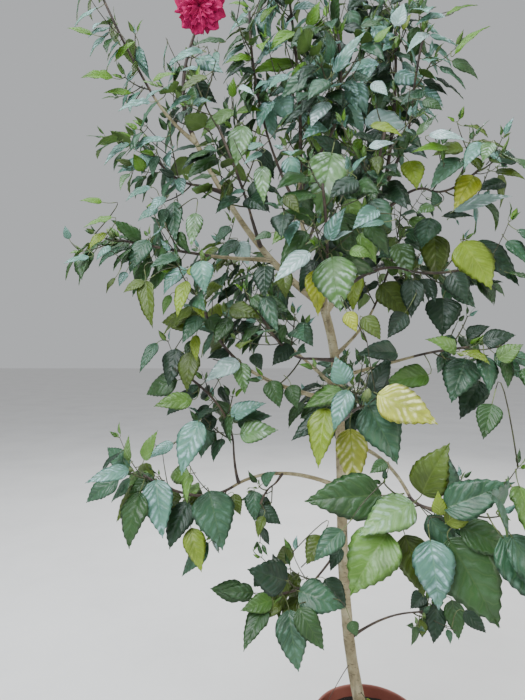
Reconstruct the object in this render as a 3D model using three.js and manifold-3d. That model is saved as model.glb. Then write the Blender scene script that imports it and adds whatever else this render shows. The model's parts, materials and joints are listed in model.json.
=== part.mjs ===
// A hibiscus shrub in its plastic pot, at its real size: millimetres, +Z up, -Y to the front.
// The origin is the centre of the pot's flat underside. One leaning trunk rises from the soil
// and forks. Every bough is one tapering limb that ends where its mass of leaves begins, and
// every mass is twigs and leaves that a seeded rule grows from one stem.
import * as THREE from "three";
import { mergeVertices } from "three/addons/utils/BufferGeometryUtils.js";
import Module from "manifold-3d";

const wasm = await Module();
wasm.setup();

// Clearance between solids that touch on the real plant.
const GAP = 0.3;

// Pot: a tapered body, a band under a rolled rim and a flat floor.
const POT_HEIGHT = 250;
const POT_FOOT_RADIUS = 88;
const POT_RIM_RADIUS = 124;
const POT_WALL = 3;
const POT_FLOOR = 6;
const RIM_BAND = 27;
const RIM_STEP = 5;
const RIM_ROUNDING = 3.5;
const BAND_BEVEL = 2;
const LIP_FALL = 1;
const FOOT_BEVEL = 3;
const POT_SIDES = 24;
const SOIL_DEPTH_BELOW_RIM = 22;
const SOIL_EDGE_DIP = 4;
const SOIL_SHOULDER_DIP = 1;
const SOIL_FLAT_RADIUS = 34;
const SOIL_TOP = POT_HEIGHT - SOIL_DEPTH_BELOW_RIM;

// Trunk: it leans away from the pot's centre low down and bends over again at the fork.
const TRUNK_HEIGHT = 965;
const TRUNK_SUNK = 8;
const TRUNK_LEAN = 60;
const TRUNK_LEAN_POWER = 5;
const TRUNK_KNEE = 42;
const TRUNK_KNEE_POWER = 8;
const TRUNK_FOOT_RADIUS = 13.5;
const TRUNK_FORK_RADIUS = 10;
const ROOT_FLARE = 5;
const ROOT_FLARE_HEIGHT = 35;
const TRUNK_SIDES = 8;
const TRUNK_STEPS = 11;
const CROWN_AXIS_ALONG = 0.8;

// Boughs and stems.
const BOUGH_SIDES = 5;
const BOUGH_STEPS = 3;
const BOUGH_TIP_SHARE = 0.62;
const STEM_SIDES = 4;
const STEM_STEPS = 3;
const STEM_TIP_RADIUS = 2.8;
const STEM_PULL = 0.45;

// The growth rule of a mass: twigs stand out round its stem and curve up.
const TURN = THREE.MathUtils.degToRad(137.5);
const TURN_JITTER = 0.7;
const TWIG_SPACING = 60;
const TWIGS_LEAST = 4;
const TWIG_FIRST = 0.08;
const TWIG_LAST = 0.94;
const TWIG_ANGLE_FOOT = 1.05;
const TWIG_ANGLE_TIP = 0.6;
const TWIG_LIFT = 0.35;
const TWIG_PULL = 0.5;
const TWIG_SHORTEST = 0.65;
const TWIG_SHORTENING = 0.35;
const TWIG_LENGTHS_TRIED = [1, 0.75, 0.5, 0.3];
const TWIG_TESTED_AT = [0.4, 0.6, 0.8, 1];
const TWIG_RADIUS = 1.8;
const TWIG_TIP_RADIUS = 1.7;
const TWIG_SIDES = 3;
const TWIG_STEPS = 1;
const LEAF_SPACING = 22;
const LEAF_FIRST_ON_TWIG = 0.28;
const LEAF_FIRST_ON_STEM = 0.3;
const LEAF_LAST = 0.95;
const LEAF_HUG = 0.72;
const LEAF_TRIES = 9;
const LEAF_DROOPS_TRIED = [0, 0.35, -0.35];

// A leaf with its stalk: a thin kite, widest a little past the middle.
const STALK_SHARE = 0.28;
const STALK_SUNK = 0.7;
const LEAF_HALF_WIDTH = 0.27;
const LEAF_WIDEST = 0.55;
const LEAF_THICKNESS = 0.022;
const LEAF_FORWARD = 0.4;
const LEAF_OUTWARD = 0.3;
const LEAF_DROOP_LEAST = 0.6;
const LEAF_DROOP_MORE = 0.9;
const LEAF_SIZE_LEAST = 0.8;
const LEAF_SIZE_MORE = 0.35;
const LEAF_ROLL = 1.1;
const SUN = new THREE.Vector3(-0.3, -0.75, 0.5);
const FACE_OUTWARD = 0.45;

// Room that a mass keeps to its neighbours and to every limb, and a leaf to other leaves.
const SPACE_MARGIN = 4;
const LIMB_CLEARANCE = 8;
const LEAF_CLEARANCE = 0.17;
const TWIG_CLEARANCE = 8;

// Bud and bloom, each at the end of its stem.
const BUD_LENGTH = 34;
const BUD_RADIUS = 5.5;
const BUD_WIDEST = 0.5;
const BUD_FOOT_ALONG = 0.97;
const BLOOM_RADIUS = 54;
const BLOOM_DEPTH = 0.62;
const BLOOM_RUFFLE = 0.16;
const BLOOM_RUFFLE_WAVES = [0.9, 0.7, 0.8];
const BLOOM_FACING = new THREE.Vector3(-0.1, -0.86, -0.5);
const BLOOM_FREE_AHEAD = 30;
const BLOOM_FREE_RADIUS = 80;

// Every branch is a bough and the mass at its tip. on and from say which limb carries it and
// how far along, via is the point it passes half way, girth its radius where it starts, end
// where the stem of its mass ends, reach its longest twig and leaf the length of a leaf blade.
const BRANCHES = [
  {
    name: "upper_left", on: "trunk", from: 1, girth: 8.5,
    via: [-262, -12, 1345], tip: [-398, -22, 1575], end: [-374, -26, 1838], reach: 120, leaf: 80,
    bloom: true,
  },
  {
    name: "upper_right", on: "trunk", from: 0.985, girth: 7.5,
    via: [-6, 10, 1318], tip: [48, 18, 1500], end: [66, 14, 1880], reach: 130, leaf: 82,
  },
  {
    name: "center", on: "trunk", from: 0.965, girth: 7,
    via: [-138, 48, 1340], tip: [-150, 56, 1520], end: [-186, 20, 1960], reach: 150, leaf: 80,
  },
  {
    name: "top_left", on: "upper_left", from: 0.96, girth: 4.6,
    via: [-440, -32, 1598], tip: [-480, -38, 1650], end: [-590, -52, 1862], reach: 68, leaf: 78,
  },
  {
    name: "left_upper", on: "upper_left", from: 0.74, girth: 4.4,
    via: [-366, -52, 1446], tip: [-384, -66, 1446], end: [-476, -92, 1510], reach: 110, leaf: 82,
  },
  {
    name: "left", on: "upper_left", from: 0.36, girth: 5,
    via: [-296, -54, 1290], tip: [-350, -84, 1290], end: [-536, -112, 1318], reach: 120, leaf: 84,
  },
  {
    name: "middle_left", on: "upper_left", from: 0.44, girth: 4.4,
    via: [-258, -70, 1356], tip: [-266, -112, 1376], end: [-330, -150, 1540], reach: 170, leaf: 84,
  },
  {
    name: "top_middle", on: "center", from: 0.72, girth: 4.4,
    via: [-186, 30, 1480], tip: [-220, 14, 1560], end: [-270, -6, 1860], reach: 140, leaf: 80,
  },
  {
    name: "front_upper", on: "center", from: 0.86, girth: 4.4,
    via: [-120, 6, 1520], tip: [-96, -54, 1550], end: [-84, -118, 1740], reach: 150, leaf: 86,
  },
  {
    name: "back_upper", on: "center", from: 0.5, girth: 4.4,
    via: [-112, 100, 1400], tip: [-96, 138, 1480], end: [-120, 180, 1730], reach: 180, leaf: 84,
  },
  {
    name: "top_right", on: "upper_right", from: 0.9, girth: 4,
    via: [76, -14, 1545], tip: [88, -34, 1600], end: [112, -54, 1780], reach: 86, leaf: 80,
  },
  {
    name: "right_upper", on: "upper_right", from: 0.7, girth: 4,
    via: [82, -22, 1440], tip: [124, -52, 1440], end: [216, -90, 1470], reach: 130, leaf: 86,
  },
  {
    name: "middle_right", on: "upper_right", from: 0.34, girth: 4.2,
    via: [-4, -50, 1340], tip: [-2, -92, 1386], end: [10, -140, 1540], reach: 170, leaf: 88,
  },
  {
    name: "right", on: "upper_right", from: 0.2, girth: 4.2,
    via: [16, -14, 1270], tip: [74, -40, 1268], end: [190, -86, 1262], reach: 130, leaf: 92,
  },
  {
    name: "front", on: "trunk", from: 0.93, girth: 4.6,
    via: [-104, -84, 1180], tip: [-112, -148, 1226], end: [-128, -222, 1400], reach: 160, leaf: 92,
  },
  {
    name: "left_center", on: "trunk", from: 0.775, girth: 5.6,
    via: [-196, -38, 1010], tip: [-285, -74, 1060], end: [-370, -138, 1202], reach: 170, leaf: 86,
  },
  {
    name: "middle_low", on: "trunk", from: 0.87, girth: 4.4,
    via: [-116, -52, 1070], tip: [-150, -90, 1072], end: [-244, -146, 1160], reach: 130, leaf: 86,
  },
  {
    name: "right_middle", on: "trunk", from: 0.83, girth: 4.6,
    via: [26, -28, 1056], tip: [92, -50, 1076], end: [196, -92, 1096], reach: 120, leaf: 96,
    bud: true,
  },
  {
    name: "left_low", on: "trunk", from: 0.57, girth: 5,
    via: [-196, -42, 818], tip: [-304, -80, 798], end: [-488, -108, 830], reach: 104, leaf: 88,
  },
  {
    name: "left_riser", on: "left_low", from: 0.93, girth: 3.4,
    via: [-298, -78, 838], tip: [-302, -76, 884], end: [-402, -84, 1036], reach: 90, leaf: 78,
  },
  {
    name: "left_inner", on: "left_low", from: 0.5, girth: 2.8,
    via: [-208, -62, 806], tip: [-216, -70, 800], end: [-244, -92, 764], reach: 40, leaf: 52,
  },
  {
    name: "lower_left", on: "trunk", from: 0.445, girth: 3.6,
    via: [-90, -34, 622], tip: [-126, -82, 604], end: [-200, -132, 594], reach: 64, leaf: 88,
  },
  {
    name: "front_middle", on: "trunk", from: 0.73, girth: 4.2,
    via: [-66, -80, 942], tip: [-64, -150, 962], end: [-56, -226, 986], reach: 116, leaf: 104,
    bud: true,
  },
  {
    name: "right_low", on: "trunk", from: 0.68, girth: 4.8,
    via: [-6, -136, 874], tip: [14, -290, 838], end: [86, -380, 838], reach: 110, leaf: 122,
  },
  {
    name: "right_foot", on: "trunk", from: 0.215, girth: 3.2,
    via: [24, -16, 480], tip: [92, -28, 504], end: [134, -36, 512], reach: 40, leaf: 44,
  },
  {
    name: "back_left", on: "trunk", from: 0.8, girth: 4.6,
    via: [-126, 78, 1056], tip: [-190, 122, 1116], end: [-304, 168, 1302], reach: 180, leaf: 86,
  },
  {
    name: "back_right", on: "trunk", from: 0.88, girth: 4.6,
    via: [-6, 76, 1136], tip: [38, 122, 1192], end: [110, 168, 1370], reach: 180, leaf: 86,
  },
  {
    name: "back_low", on: "trunk", from: 0.6, girth: 4.2,
    via: [-56, 82, 850], tip: [-48, 124, 884], end: [-20, 204, 960], reach: 130, leaf: 86,
  },
];

const BARK = { color: 0x8f8460, roughness: 0.75 };
const LEAF_GREEN = { color: 0x3d6638, roughness: 0.45 };
const POT_RED = { color: 0x8a4a42, roughness: 0.55 };
const SOIL_BLACK = { color: 0x1f1d22, roughness: 0.95 };

function vector([x, y, z]) {
  return new THREE.Vector3(x, y, z);
}

// The world axis that a direction points along least, so a cross product with it is safe.
function leastAligned(direction) {
  const sizes = direction.toArray().map(Math.abs);
  const axis = new THREE.Vector3();
  return axis.setComponent(sizes.indexOf(Math.min(...sizes)), 1);
}

// The trunk's centre line, from the soil to the fork.
class TrunkLine {
  constructor() {
    this.reference = new THREE.Vector3(0, 1, 0);
    this.length = TRUNK_HEIGHT;
  }

  at(along) {
    const lean = TRUNK_LEAN * (1 - (1 - along) ** TRUNK_LEAN_POWER);
    const knee = TRUNK_KNEE * along ** TRUNK_KNEE_POWER;
    const sunk = TRUNK_SUNK * (1 - along);
    return new THREE.Vector3(-lean - knee, 0, SOIL_TOP - sunk + TRUNK_HEIGHT * along);
  }

  heading(along) {
    const lean = TRUNK_LEAN * TRUNK_LEAN_POWER * (1 - along) ** (TRUNK_LEAN_POWER - 1);
    const knee = TRUNK_KNEE * TRUNK_KNEE_POWER * along ** (TRUNK_KNEE_POWER - 1);
    return new THREE.Vector3(-lean - knee, 0, TRUNK_HEIGHT).normalize();
  }
}

// A limb's centre line: one bend from its start to its tip.
class Bend {
  constructor(start, pull, tip) {
    this.curve = new THREE.QuadraticBezierCurve3(start, pull, tip);
    this.reference = leastAligned(tip.clone().sub(start));
    this.length = start.distanceTo(tip);
  }

  static through(start, via, tip) {
    const middle = start.clone().add(tip).multiplyScalar(0.5);
    return new Bend(start, via.clone().multiplyScalar(2).sub(middle), tip);
  }

  at(along) {
    return this.curve.getPoint(along);
  }

  heading(along) {
    const { v0, v1, v2 } = this.curve;
    const first = v1.clone().sub(v0).multiplyScalar(1 - along);
    return v2.clone().sub(v1).multiplyScalar(along).add(first).normalize();
  }
}

// Two directions square to a line, for what stands out round it.
function squareTo(line, along) {
  const heading = line.heading(along);
  const side = heading.clone().cross(line.reference).normalize();
  return { heading, side, other: heading.clone().cross(side) };
}

// A tube along a line, tapering by radiusAt, made longer and thicker by grow.
function tube(line, radiusAt, sides, steps, grow = 0) {
  const made = new THREE.CylinderGeometry(1, 1, 1, sides, steps);
  const corners = made.attributes.position;
  for (let i = 0; i < corners.count; i++) {
    const along = Math.round((corners.getY(i) + 0.5) * steps) / steps;
    const { heading, side, other } = squareTo(line, along);
    const radius = radiusAt(along) + grow;
    const corner = line.at(along);
    corner.addScaledVector(heading, grow * Math.sign(along - 0.5) * Number(along % 1 === 0));
    corner.addScaledVector(side, corners.getX(i) * radius);
    corner.addScaledVector(other, -corners.getZ(i) * radius);
    corners.setXYZ(i, corner.x, corner.y, corner.z);
  }
  return solid(made);
}

// A closed three.js geometry as a solid that can be joined and cut.
function solid(geometry) {
  geometry.deleteAttribute("normal");
  geometry.deleteAttribute("uv");
  const merged = mergeVertices(geometry, 1e-4);
  const mesh = new wasm.Mesh({
    numProp: 3,
    vertProperties: new Float32Array(merged.attributes.position.array),
    triVerts: new Uint32Array(merged.index.array),
  });
  return new wasm.Manifold(mesh);
}

// The largest of a solid's separate bodies: loose scraps are dropped and sealed hollows filled.
function wholeBody(made) {
  return made.decompose().reduce((a, b) => (b.volume() > a.volume() ? b : a));
}

function node(name, made, finish) {
  const { vertProperties, triVerts } = made.getMesh();
  const geometry = new THREE.BufferGeometry();
  geometry.setAttribute("position", new THREE.BufferAttribute(vertProperties, 3));
  geometry.setIndex(new THREE.BufferAttribute(triVerts, 1));
  geometry.computeVertexNormals();
  const mesh = new THREE.Mesh(geometry, new THREE.MeshStandardMaterial(finish));
  mesh.name = name;
  return mesh;
}

function turned(profile) {
  const points = profile.map(([radius, height]) => new THREE.Vector2(radius, height));
  return solid(new THREE.LatheGeometry(points, POT_SIDES).rotateX(Math.PI / 2));
}

// The pot's outer radius at a height on its tapered body.
function potRadius(height) {
  const top = POT_RIM_RADIUS - RIM_STEP;
  return POT_FOOT_RADIUS + ((top - POT_FOOT_RADIUS) * height) / (POT_HEIGHT - RIM_BAND);
}

function makePot() {
  const bandFoot = POT_HEIGHT - RIM_BAND;
  const lipHeight = POT_HEIGHT - RIM_ROUNDING;
  const innerTop = potRadius(bandFoot) - POT_WALL;
  const profile = [
    [0, 0],
    [POT_FOOT_RADIUS - FOOT_BEVEL, 0],
    [potRadius(FOOT_BEVEL), FOOT_BEVEL],
    [potRadius(bandFoot), bandFoot],
    [POT_RIM_RADIUS - BAND_BEVEL, bandFoot],
    [POT_RIM_RADIUS, bandFoot + BAND_BEVEL],
    [POT_RIM_RADIUS, lipHeight],
    [POT_RIM_RADIUS - LIP_FALL, POT_HEIGHT - LIP_FALL],
    [POT_RIM_RADIUS - RIM_ROUNDING, POT_HEIGHT],
    [innerTop + RIM_ROUNDING, POT_HEIGHT - LIP_FALL],
    [innerTop + LIP_FALL, lipHeight],
    [innerTop, bandFoot],
    [potRadius(POT_FLOOR) - POT_WALL, POT_FLOOR],
    [0, POT_FLOOR],
  ];
  return turned(profile);
}

function makeSoil() {
  const foot = POT_FLOOR + GAP;
  const bandFoot = POT_HEIGHT - RIM_BAND;
  const inset = POT_WALL + 2 * GAP;
  const profile = [
    [0, foot],
    [potRadius(foot) - inset, foot],
    [potRadius(bandFoot) - inset, bandFoot],
    [potRadius(bandFoot) - inset, SOIL_TOP - SOIL_EDGE_DIP],
    [(SOIL_FLAT_RADIUS + POT_RIM_RADIUS) / 2, SOIL_TOP - SOIL_SHOULDER_DIP],
    [SOIL_FLAT_RADIUS, SOIL_TOP],
    [0, SOIL_TOP],
  ];
  return turned(profile);
}

// What the trunk is cut by for its flat foot on the soil.
function belowSoil() {
  const depth = 2 * TRUNK_FOOT_RADIUS;
  const block = new THREE.BoxGeometry(POT_RIM_RADIUS, POT_RIM_RADIUS, depth);
  return solid(block.translate(0, 0, SOIL_TOP + GAP - depth / 2));
}

// Numbers from 0 to 1 that are the same in every run.
function seeded(seed) {
  const range = 4294967296;
  let state = (seed * 2654435761) % range;
  const next = () => {
    state = (state * 1664525 + 1013904223) % range;
    return state / range;
  };
  next();
  return next;
}

function trunkRadius(along) {
  const flare = ROOT_FLARE * Math.exp((-along * TRUNK_HEIGHT) / ROOT_FLARE_HEIGHT);
  return THREE.MathUtils.lerp(TRUNK_FOOT_RADIUS, TRUNK_FORK_RADIUS, along) + flare;
}

// A limb is a centre line with the points that stand for it in a search, and its radius.
function limbAlong(line, radiusAt, sides, steps) {
  const points = [];
  for (let step = 0; step <= steps; step++) points.push(line.at(step / steps));
  return { line, radiusAt, sides, steps, points, widest: radiusAt(0) };
}

// The point in the middle of a limb's faceted tube, where what it carries is rooted.
function rootOn({ points, steps }, along) {
  const step = Math.min(Math.floor(along * steps), steps - 1);
  return points[step].clone().lerp(points[step + 1], along * steps - step);
}

function distanceTo(point, points) {
  let nearest = Infinity;
  const onSegment = new THREE.Vector3();
  const segment = new THREE.Line3();
  for (let i = 1; i < points.length; i++) {
    segment.set(points[i - 1], points[i]).closestPointToPoint(point, true, onSegment);
    nearest = Math.min(nearest, point.distanceTo(onSegment));
  }
  return nearest;
}

// The middle of the room that is kept free of twigs and leaves round and in front of a bloom.
function bloomRoom(branch) {
  return branch.stem.line.at(1).addScaledVector(BLOOM_FACING.clone().normalize(), BLOOM_FREE_AHEAD);
}

// True where every point is in the branch's own space and clear of every limb and bloom.
function fits(points, branch, branches, limbs) {
  const blooms = branches.filter((b) => b.bloom).map(bloomRoom);
  for (const point of points) {
    if (point.z < POT_HEIGHT + LIMB_CLEARANCE) return false;
    if (blooms.some((room) => point.distanceTo(room) < BLOOM_FREE_RADIUS)) return false;
    const own = distanceTo(point, branch.stem.points) + SPACE_MARGIN;
    if (branches.some((b) => b !== branch && distanceTo(point, b.stem.points) < own)) return false;
    if (limbs.some((l) => distanceTo(point, l.points) < l.widest + LIMB_CLEARANCE)) return false;
  }
  return true;
}

// True where every point of a leaf keeps its distance to the leaves and twigs already grown.
function apart({ points, length }, leaves, twigs) {
  const near = (a) => (b) => a.distanceTo(b) < LEAF_CLEARANCE * length;
  const touchesLeaf = (point) => leaves.some((leaf) => leaf.points.some(near(point)));
  const touchesTwig = (point) => twigs.some((t) => distanceTo(point, t.points) < TWIG_CLEARANCE);
  return !points.some((point) => touchesLeaf(point) || touchesTwig(point));
}

// A leaf grows from a point on a twig: it stands out at a turn round the twig, droops, and
// shows its face to the sun and outwards.
function leafPose(foot, { heading, side, other }, turn, length, droop, roll) {
  const out = side.clone().multiplyScalar(Math.cos(turn)).addScaledVector(other, Math.sin(turn));
  const away = new THREE.Vector3(foot.x - TRUNK_AXIS.x, foot.y - TRUNK_AXIS.y, 0).normalize();
  const along = out.addScaledVector(heading, LEAF_FORWARD).addScaledVector(away, LEAF_OUTWARD);
  along.z -= droop;
  along.normalize();
  const face = SUN.clone().addScaledVector(away, FACE_OUTWARD);
  face.addScaledVector(side, roll);
  const across = face.cross(along).normalize();
  const sunk = foot.clone().addScaledVector(along, -STALK_SUNK);
  return { foot: sunk, along, across, normal: along.clone().cross(across), length };
}

// Points all over a leaf's blade, to test its room: how far along and how far across each is.
const BLADE_POINTS = [
  [0.28, 0], [0.42, 0.5], [0.42, 0], [0.42, -0.5], [0.55, 1], [0.56, 0.5], [0.57, 0], [0.56, -0.5],
  [0.55, -1], [0.72, 0.5], [0.74, 0], [0.72, -0.5], [0.87, 0], [1, 0],
];

function leafPoints({ foot, along, across, length }) {
  return BLADE_POINTS.map(([reach, half]) => {
    const point = foot.clone().addScaledVector(along, reach * length);
    return point.addScaledVector(across, half * LEAF_HALF_WIDTH * length);
  });
}

// A thin body with six corners: at its foot, its tip, its two sides and its two faces.
function blade({ foot, along, across, normal, length }, halfWidth, widest, halfThickness) {
  const made = new THREE.OctahedronGeometry(1, 0);
  const corners = made.attributes.position;
  for (let i = 0; i < corners.count; i++) {
    const x = Math.round(corners.getX(i));
    const reach = x === 0 ? widest : (x + 1) / 2;
    const corner = foot.clone().addScaledVector(along, reach * length);
    corner.addScaledVector(across, Math.round(corners.getY(i)) * halfWidth);
    corner.addScaledVector(normal, Math.round(corners.getZ(i)) * halfThickness);
    corners.setXYZ(i, corner.x, corner.y, corner.z);
  }
  return solid(made);
}

function leafSolid(leaf) {
  const { length } = leaf;
  return blade(leaf, LEAF_HALF_WIDTH * length, LEAF_WIDEST, (LEAF_THICKNESS / 2) * length);
}

// Leaves along one twig or stem, each at the first of a few turns where it has room.
function growLeaves(twig, first, branch, random, roomy, leaves, twigs) {
  const { line } = twig;
  const span = LEAF_LAST - first;
  const count = Math.max(2, Math.round((line.length * span) / LEAF_SPACING) + 1);
  const start = random() * 2 * Math.PI;
  for (let k = 0; k < count; k++) {
    const along = first + (span * k) / (count - 1);
    const turn = start + k * TURN + (random() - 0.5) * TURN_JITTER;
    const droop = LEAF_DROOP_LEAST + LEAF_DROOP_MORE * random();
    const size = LEAF_SIZE_LEAST + LEAF_SIZE_MORE * random();
    const roll = (random() - 0.5) * LEAF_ROLL;
    const length = branch.leaf * size * (1 + STALK_SHARE);
    const foot = rootOn(twig, along);
    const frame = squareTo(line, along);
    for (let tries = 0; tries < LEAF_TRIES; tries++) {
      const hang = droop + LEAF_DROOPS_TRIED[tries % LEAF_DROOPS_TRIED.length];
      const leaf = leafPose(foot, frame, turn + tries * TURN, length, hang, roll);
      if (Math.abs(leaf.along.dot(frame.heading)) > LEAF_HUG && k < count - 1) continue;
      leaf.points = leafPoints(leaf);
      if (!roomy(leaf.points) || !apart(leaf, leaves, twigs)) continue;
      leaves.push(leaf);
      break;
    }
  }
}

// Twigs stand out round the stem and curve upwards, each at the longest length that has room.
function growTwigs(branch, random, roomy) {
  const twigs = [];
  const { stem } = branch;
  const count = Math.max(TWIGS_LEAST, Math.round(stem.line.length / TWIG_SPACING));
  for (let k = 0; k < count; k++) {
    const along = TWIG_FIRST + ((TWIG_LAST - TWIG_FIRST) * k) / (count - 1);
    const { heading, side, other } = squareTo(stem.line, along);
    const turn = k * TURN + (random() - 0.5) * TURN_JITTER;
    const lean = THREE.MathUtils.lerp(TWIG_ANGLE_FOOT, TWIG_ANGLE_TIP, along);
    const share = THREE.MathUtils.lerp(TWIG_SHORTEST, 1, random());
    const longest = branch.reach * share * (1 - TWIG_SHORTENING * along);
    const out = side.clone().multiplyScalar(Math.cos(turn)).addScaledVector(other, Math.sin(turn));
    const way = out.multiplyScalar(Math.sin(lean)).addScaledVector(heading, Math.cos(lean));
    const lifted = way.clone();
    lifted.z += TWIG_LIFT;
    lifted.normalize();
    const foot = rootOn(stem, along);
    for (const tried of TWIG_LENGTHS_TRIED) {
      const length = tried * longest;
      const pull = foot.clone().addScaledVector(way, TWIG_PULL * length);
      const twig = new Bend(foot, pull, foot.clone().addScaledVector(lifted, length));
      if (!roomy(TWIG_TESTED_AT.map((tested) => twig.at(tested)))) continue;
      twigs.push(limbAlong(twig, taper(TWIG_RADIUS, TWIG_TIP_RADIUS), TWIG_SIDES, TWIG_STEPS));
      break;
    }
  }
  return twigs;
}

function makeBud(line) {
  const { heading, side, other } = squareTo(line, 1);
  const foot = line.at(BUD_FOOT_ALONG);
  const pose = { foot, along: heading, across: side, normal: other, length: BUD_LENGTH };
  return blade(pose, BUD_RADIUS, BUD_WIDEST, BUD_RADIUS);
}

// A double bloom: a ruffled head of petals, flattened along the way it faces.
function makeBloom(line) {
  const made = new THREE.IcosahedronGeometry(BLOOM_RADIUS, 1);
  const corners = made.attributes.position;
  const towards = BLOOM_FACING.clone().normalize();
  const centre = line.at(1);
  const [waveX, waveY, waveZ] = BLOOM_RUFFLE_WAVES;
  for (let i = 0; i < corners.count; i++) {
    const corner = new THREE.Vector3().fromBufferAttribute(corners, i);
    const { x, y, z } = corner;
    const ruffle = Math.sin(x * waveX) * Math.sin(y * waveY) * Math.sin(z * waveZ);
    corner.multiplyScalar(1 - BLOOM_RUFFLE + BLOOM_RUFFLE * ruffle);
    corner.addScaledVector(towards, -(1 - BLOOM_DEPTH) * corner.dot(towards)).add(centre);
    corners.setXYZ(i, corner.x, corner.y, corner.z);
  }
  return solid(made);
}

function taper(from, to) {
  return (along) => THREE.MathUtils.lerp(from, to, along);
}

const TRUNK_AXIS = new TrunkLine().at(CROWN_AXIS_ALONG);
const root = new THREE.Group();
root.add(node("pot", makePot(), POT_RED));
root.add(node("soil", makeSoil(), SOIL_BLACK));

// Limbs: the trunk first, then every bough, cut clear of the limbs made before it.
const limbs = new Map();
limbs.set("trunk", limbAlong(new TrunkLine(), trunkRadius, TRUNK_SIDES, TRUNK_STEPS));
for (const branch of BRANCHES) {
  const start = limbs.get(branch.on).line.at(branch.from);
  const line = Bend.through(start, vector(branch.via), vector(branch.tip));
  const tipRadius = branch.girth * BOUGH_TIP_SHARE;
  limbs.set(branch.name, limbAlong(line, taper(branch.girth, tipRadius), BOUGH_SIDES, BOUGH_STEPS));
  const heading = line.heading(1);
  const foot = line.at(1).addScaledVector(heading, GAP);
  const end = vector(branch.end);
  const pull = foot.clone().addScaledVector(heading, STEM_PULL * foot.distanceTo(end));
  const stemLine = new Bend(foot, pull, end);
  branch.stem = limbAlong(stemLine, taper(tipRadius, STEM_TIP_RADIUS), STEM_SIDES, STEM_STEPS);
}

const cutters = [belowSoil()];
for (const [name, { line, radiusAt, sides, steps }] of limbs) {
  const limb = tube(line, radiusAt, sides, steps);
  const cut = limb.subtract(wasm.Manifold.union(cutters));
  cutters.push(tube(line, radiusAt, sides, steps, GAP));
  root.add(node(name === "trunk" ? name : "bough_" + name, wholeBody(cut), BARK));
}

// Masses: one stem each, with its twigs and leaves fused on.
BRANCHES.forEach((branch, index) => {
  const random = seeded(index + 1);
  const { stem } = branch;
  const roomy = (points) => fits(points, branch, BRANCHES, [...limbs.values()]);
  const twigs = [stem, ...growTwigs(branch, random, roomy)];
  const leaves = [];
  for (const twig of twigs) {
    const first = twig === stem ? LEAF_FIRST_ON_STEM : LEAF_FIRST_ON_TWIG;
    growLeaves(twig, first, branch, random, roomy, leaves, twigs);
  }
  const pieces = twigs.map(({ line, radiusAt, sides, steps }) => tube(line, radiusAt, sides, steps));
  pieces.push(...leaves.map(leafSolid));
  if (branch.bud) pieces.push(makeBud(stem.line));
  if (branch.bloom) pieces.push(makeBloom(stem.line));
  const mass = wholeBody(wasm.Manifold.union(pieces));
  root.add(node("leaves_" + branch.name, mass, LEAF_GREEN));
});

export default root;
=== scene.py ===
# A hibiscus shrub in its plastic pot. The limbs grow from the same named sizes, and the twigs and
# leaves by the same seeded rule, as the solids, and are then carried to finer twigs.
# Growth is worked out in millimetres, and the meshes are made in metres.
import itertools
import json
import math

import bpy
import numpy as np
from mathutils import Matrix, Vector, noise

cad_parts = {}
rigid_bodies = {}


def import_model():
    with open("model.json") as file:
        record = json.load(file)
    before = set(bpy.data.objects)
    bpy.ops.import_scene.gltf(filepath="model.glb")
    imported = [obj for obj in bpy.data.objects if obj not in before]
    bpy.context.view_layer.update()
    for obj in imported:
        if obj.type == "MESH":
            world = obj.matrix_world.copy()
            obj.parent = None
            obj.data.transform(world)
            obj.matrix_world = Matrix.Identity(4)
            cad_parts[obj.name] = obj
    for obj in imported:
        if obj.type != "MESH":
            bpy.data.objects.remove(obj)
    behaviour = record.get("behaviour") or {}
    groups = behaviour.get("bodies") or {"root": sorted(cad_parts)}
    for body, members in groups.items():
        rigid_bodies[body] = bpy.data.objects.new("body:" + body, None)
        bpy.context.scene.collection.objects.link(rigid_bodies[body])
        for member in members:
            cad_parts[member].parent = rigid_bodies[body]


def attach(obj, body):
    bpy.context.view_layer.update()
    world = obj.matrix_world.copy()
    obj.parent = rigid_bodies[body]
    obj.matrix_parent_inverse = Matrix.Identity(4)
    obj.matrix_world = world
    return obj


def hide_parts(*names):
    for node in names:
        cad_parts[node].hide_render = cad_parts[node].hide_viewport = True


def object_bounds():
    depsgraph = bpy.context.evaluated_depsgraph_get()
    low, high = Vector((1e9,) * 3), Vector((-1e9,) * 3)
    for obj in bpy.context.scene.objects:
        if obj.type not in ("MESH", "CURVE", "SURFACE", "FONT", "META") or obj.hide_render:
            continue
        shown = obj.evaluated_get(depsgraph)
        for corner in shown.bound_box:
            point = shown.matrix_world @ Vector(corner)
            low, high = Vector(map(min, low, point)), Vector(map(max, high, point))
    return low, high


for left_over in list(bpy.data.objects):
    bpy.data.objects.remove(left_over, do_unlink=True)
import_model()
cad_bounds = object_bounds()

MM = 0.001

# Camera of the photograph: level, with a focal length equal to the picture's width.
CAMERA_PLACE = (-0.240, -1.200, 1.090)
CAMERA_LENS = 27
CAMERA_SENSOR = 36

# Pot and soil.
POT_HEIGHT = 250
POT_FOOT_RADIUS = 88
POT_RIM_RADIUS = 124
POT_WALL = 3
POT_FLOOR = 6
RIM_BAND = 27
RIM_STEP = 5
SOIL_TOP = 228
SOIL_EDGE_DIP = 4

# Trunk.
TRUNK_HEIGHT = 965
TRUNK_SUNK = 8
TRUNK_LEAN = 60
TRUNK_LEAN_POWER = 5
TRUNK_KNEE = 42
TRUNK_KNEE_POWER = 8
TRUNK_FOOT_RADIUS = 13.5
TRUNK_FORK_RADIUS = 10
ROOT_FLARE = 5
ROOT_FLARE_HEIGHT = 35
TRUNK_STEPS = 11
CROWN_AXIS_ALONG = 0.8

# Boughs and stems.
GAP = 0.3
BOUGH_STEPS = 3
BOUGH_TIP_SHARE = 0.62
STEM_STEPS = 3
STEM_TIP_RADIUS = 2.8
STEM_PULL = 0.45

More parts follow.
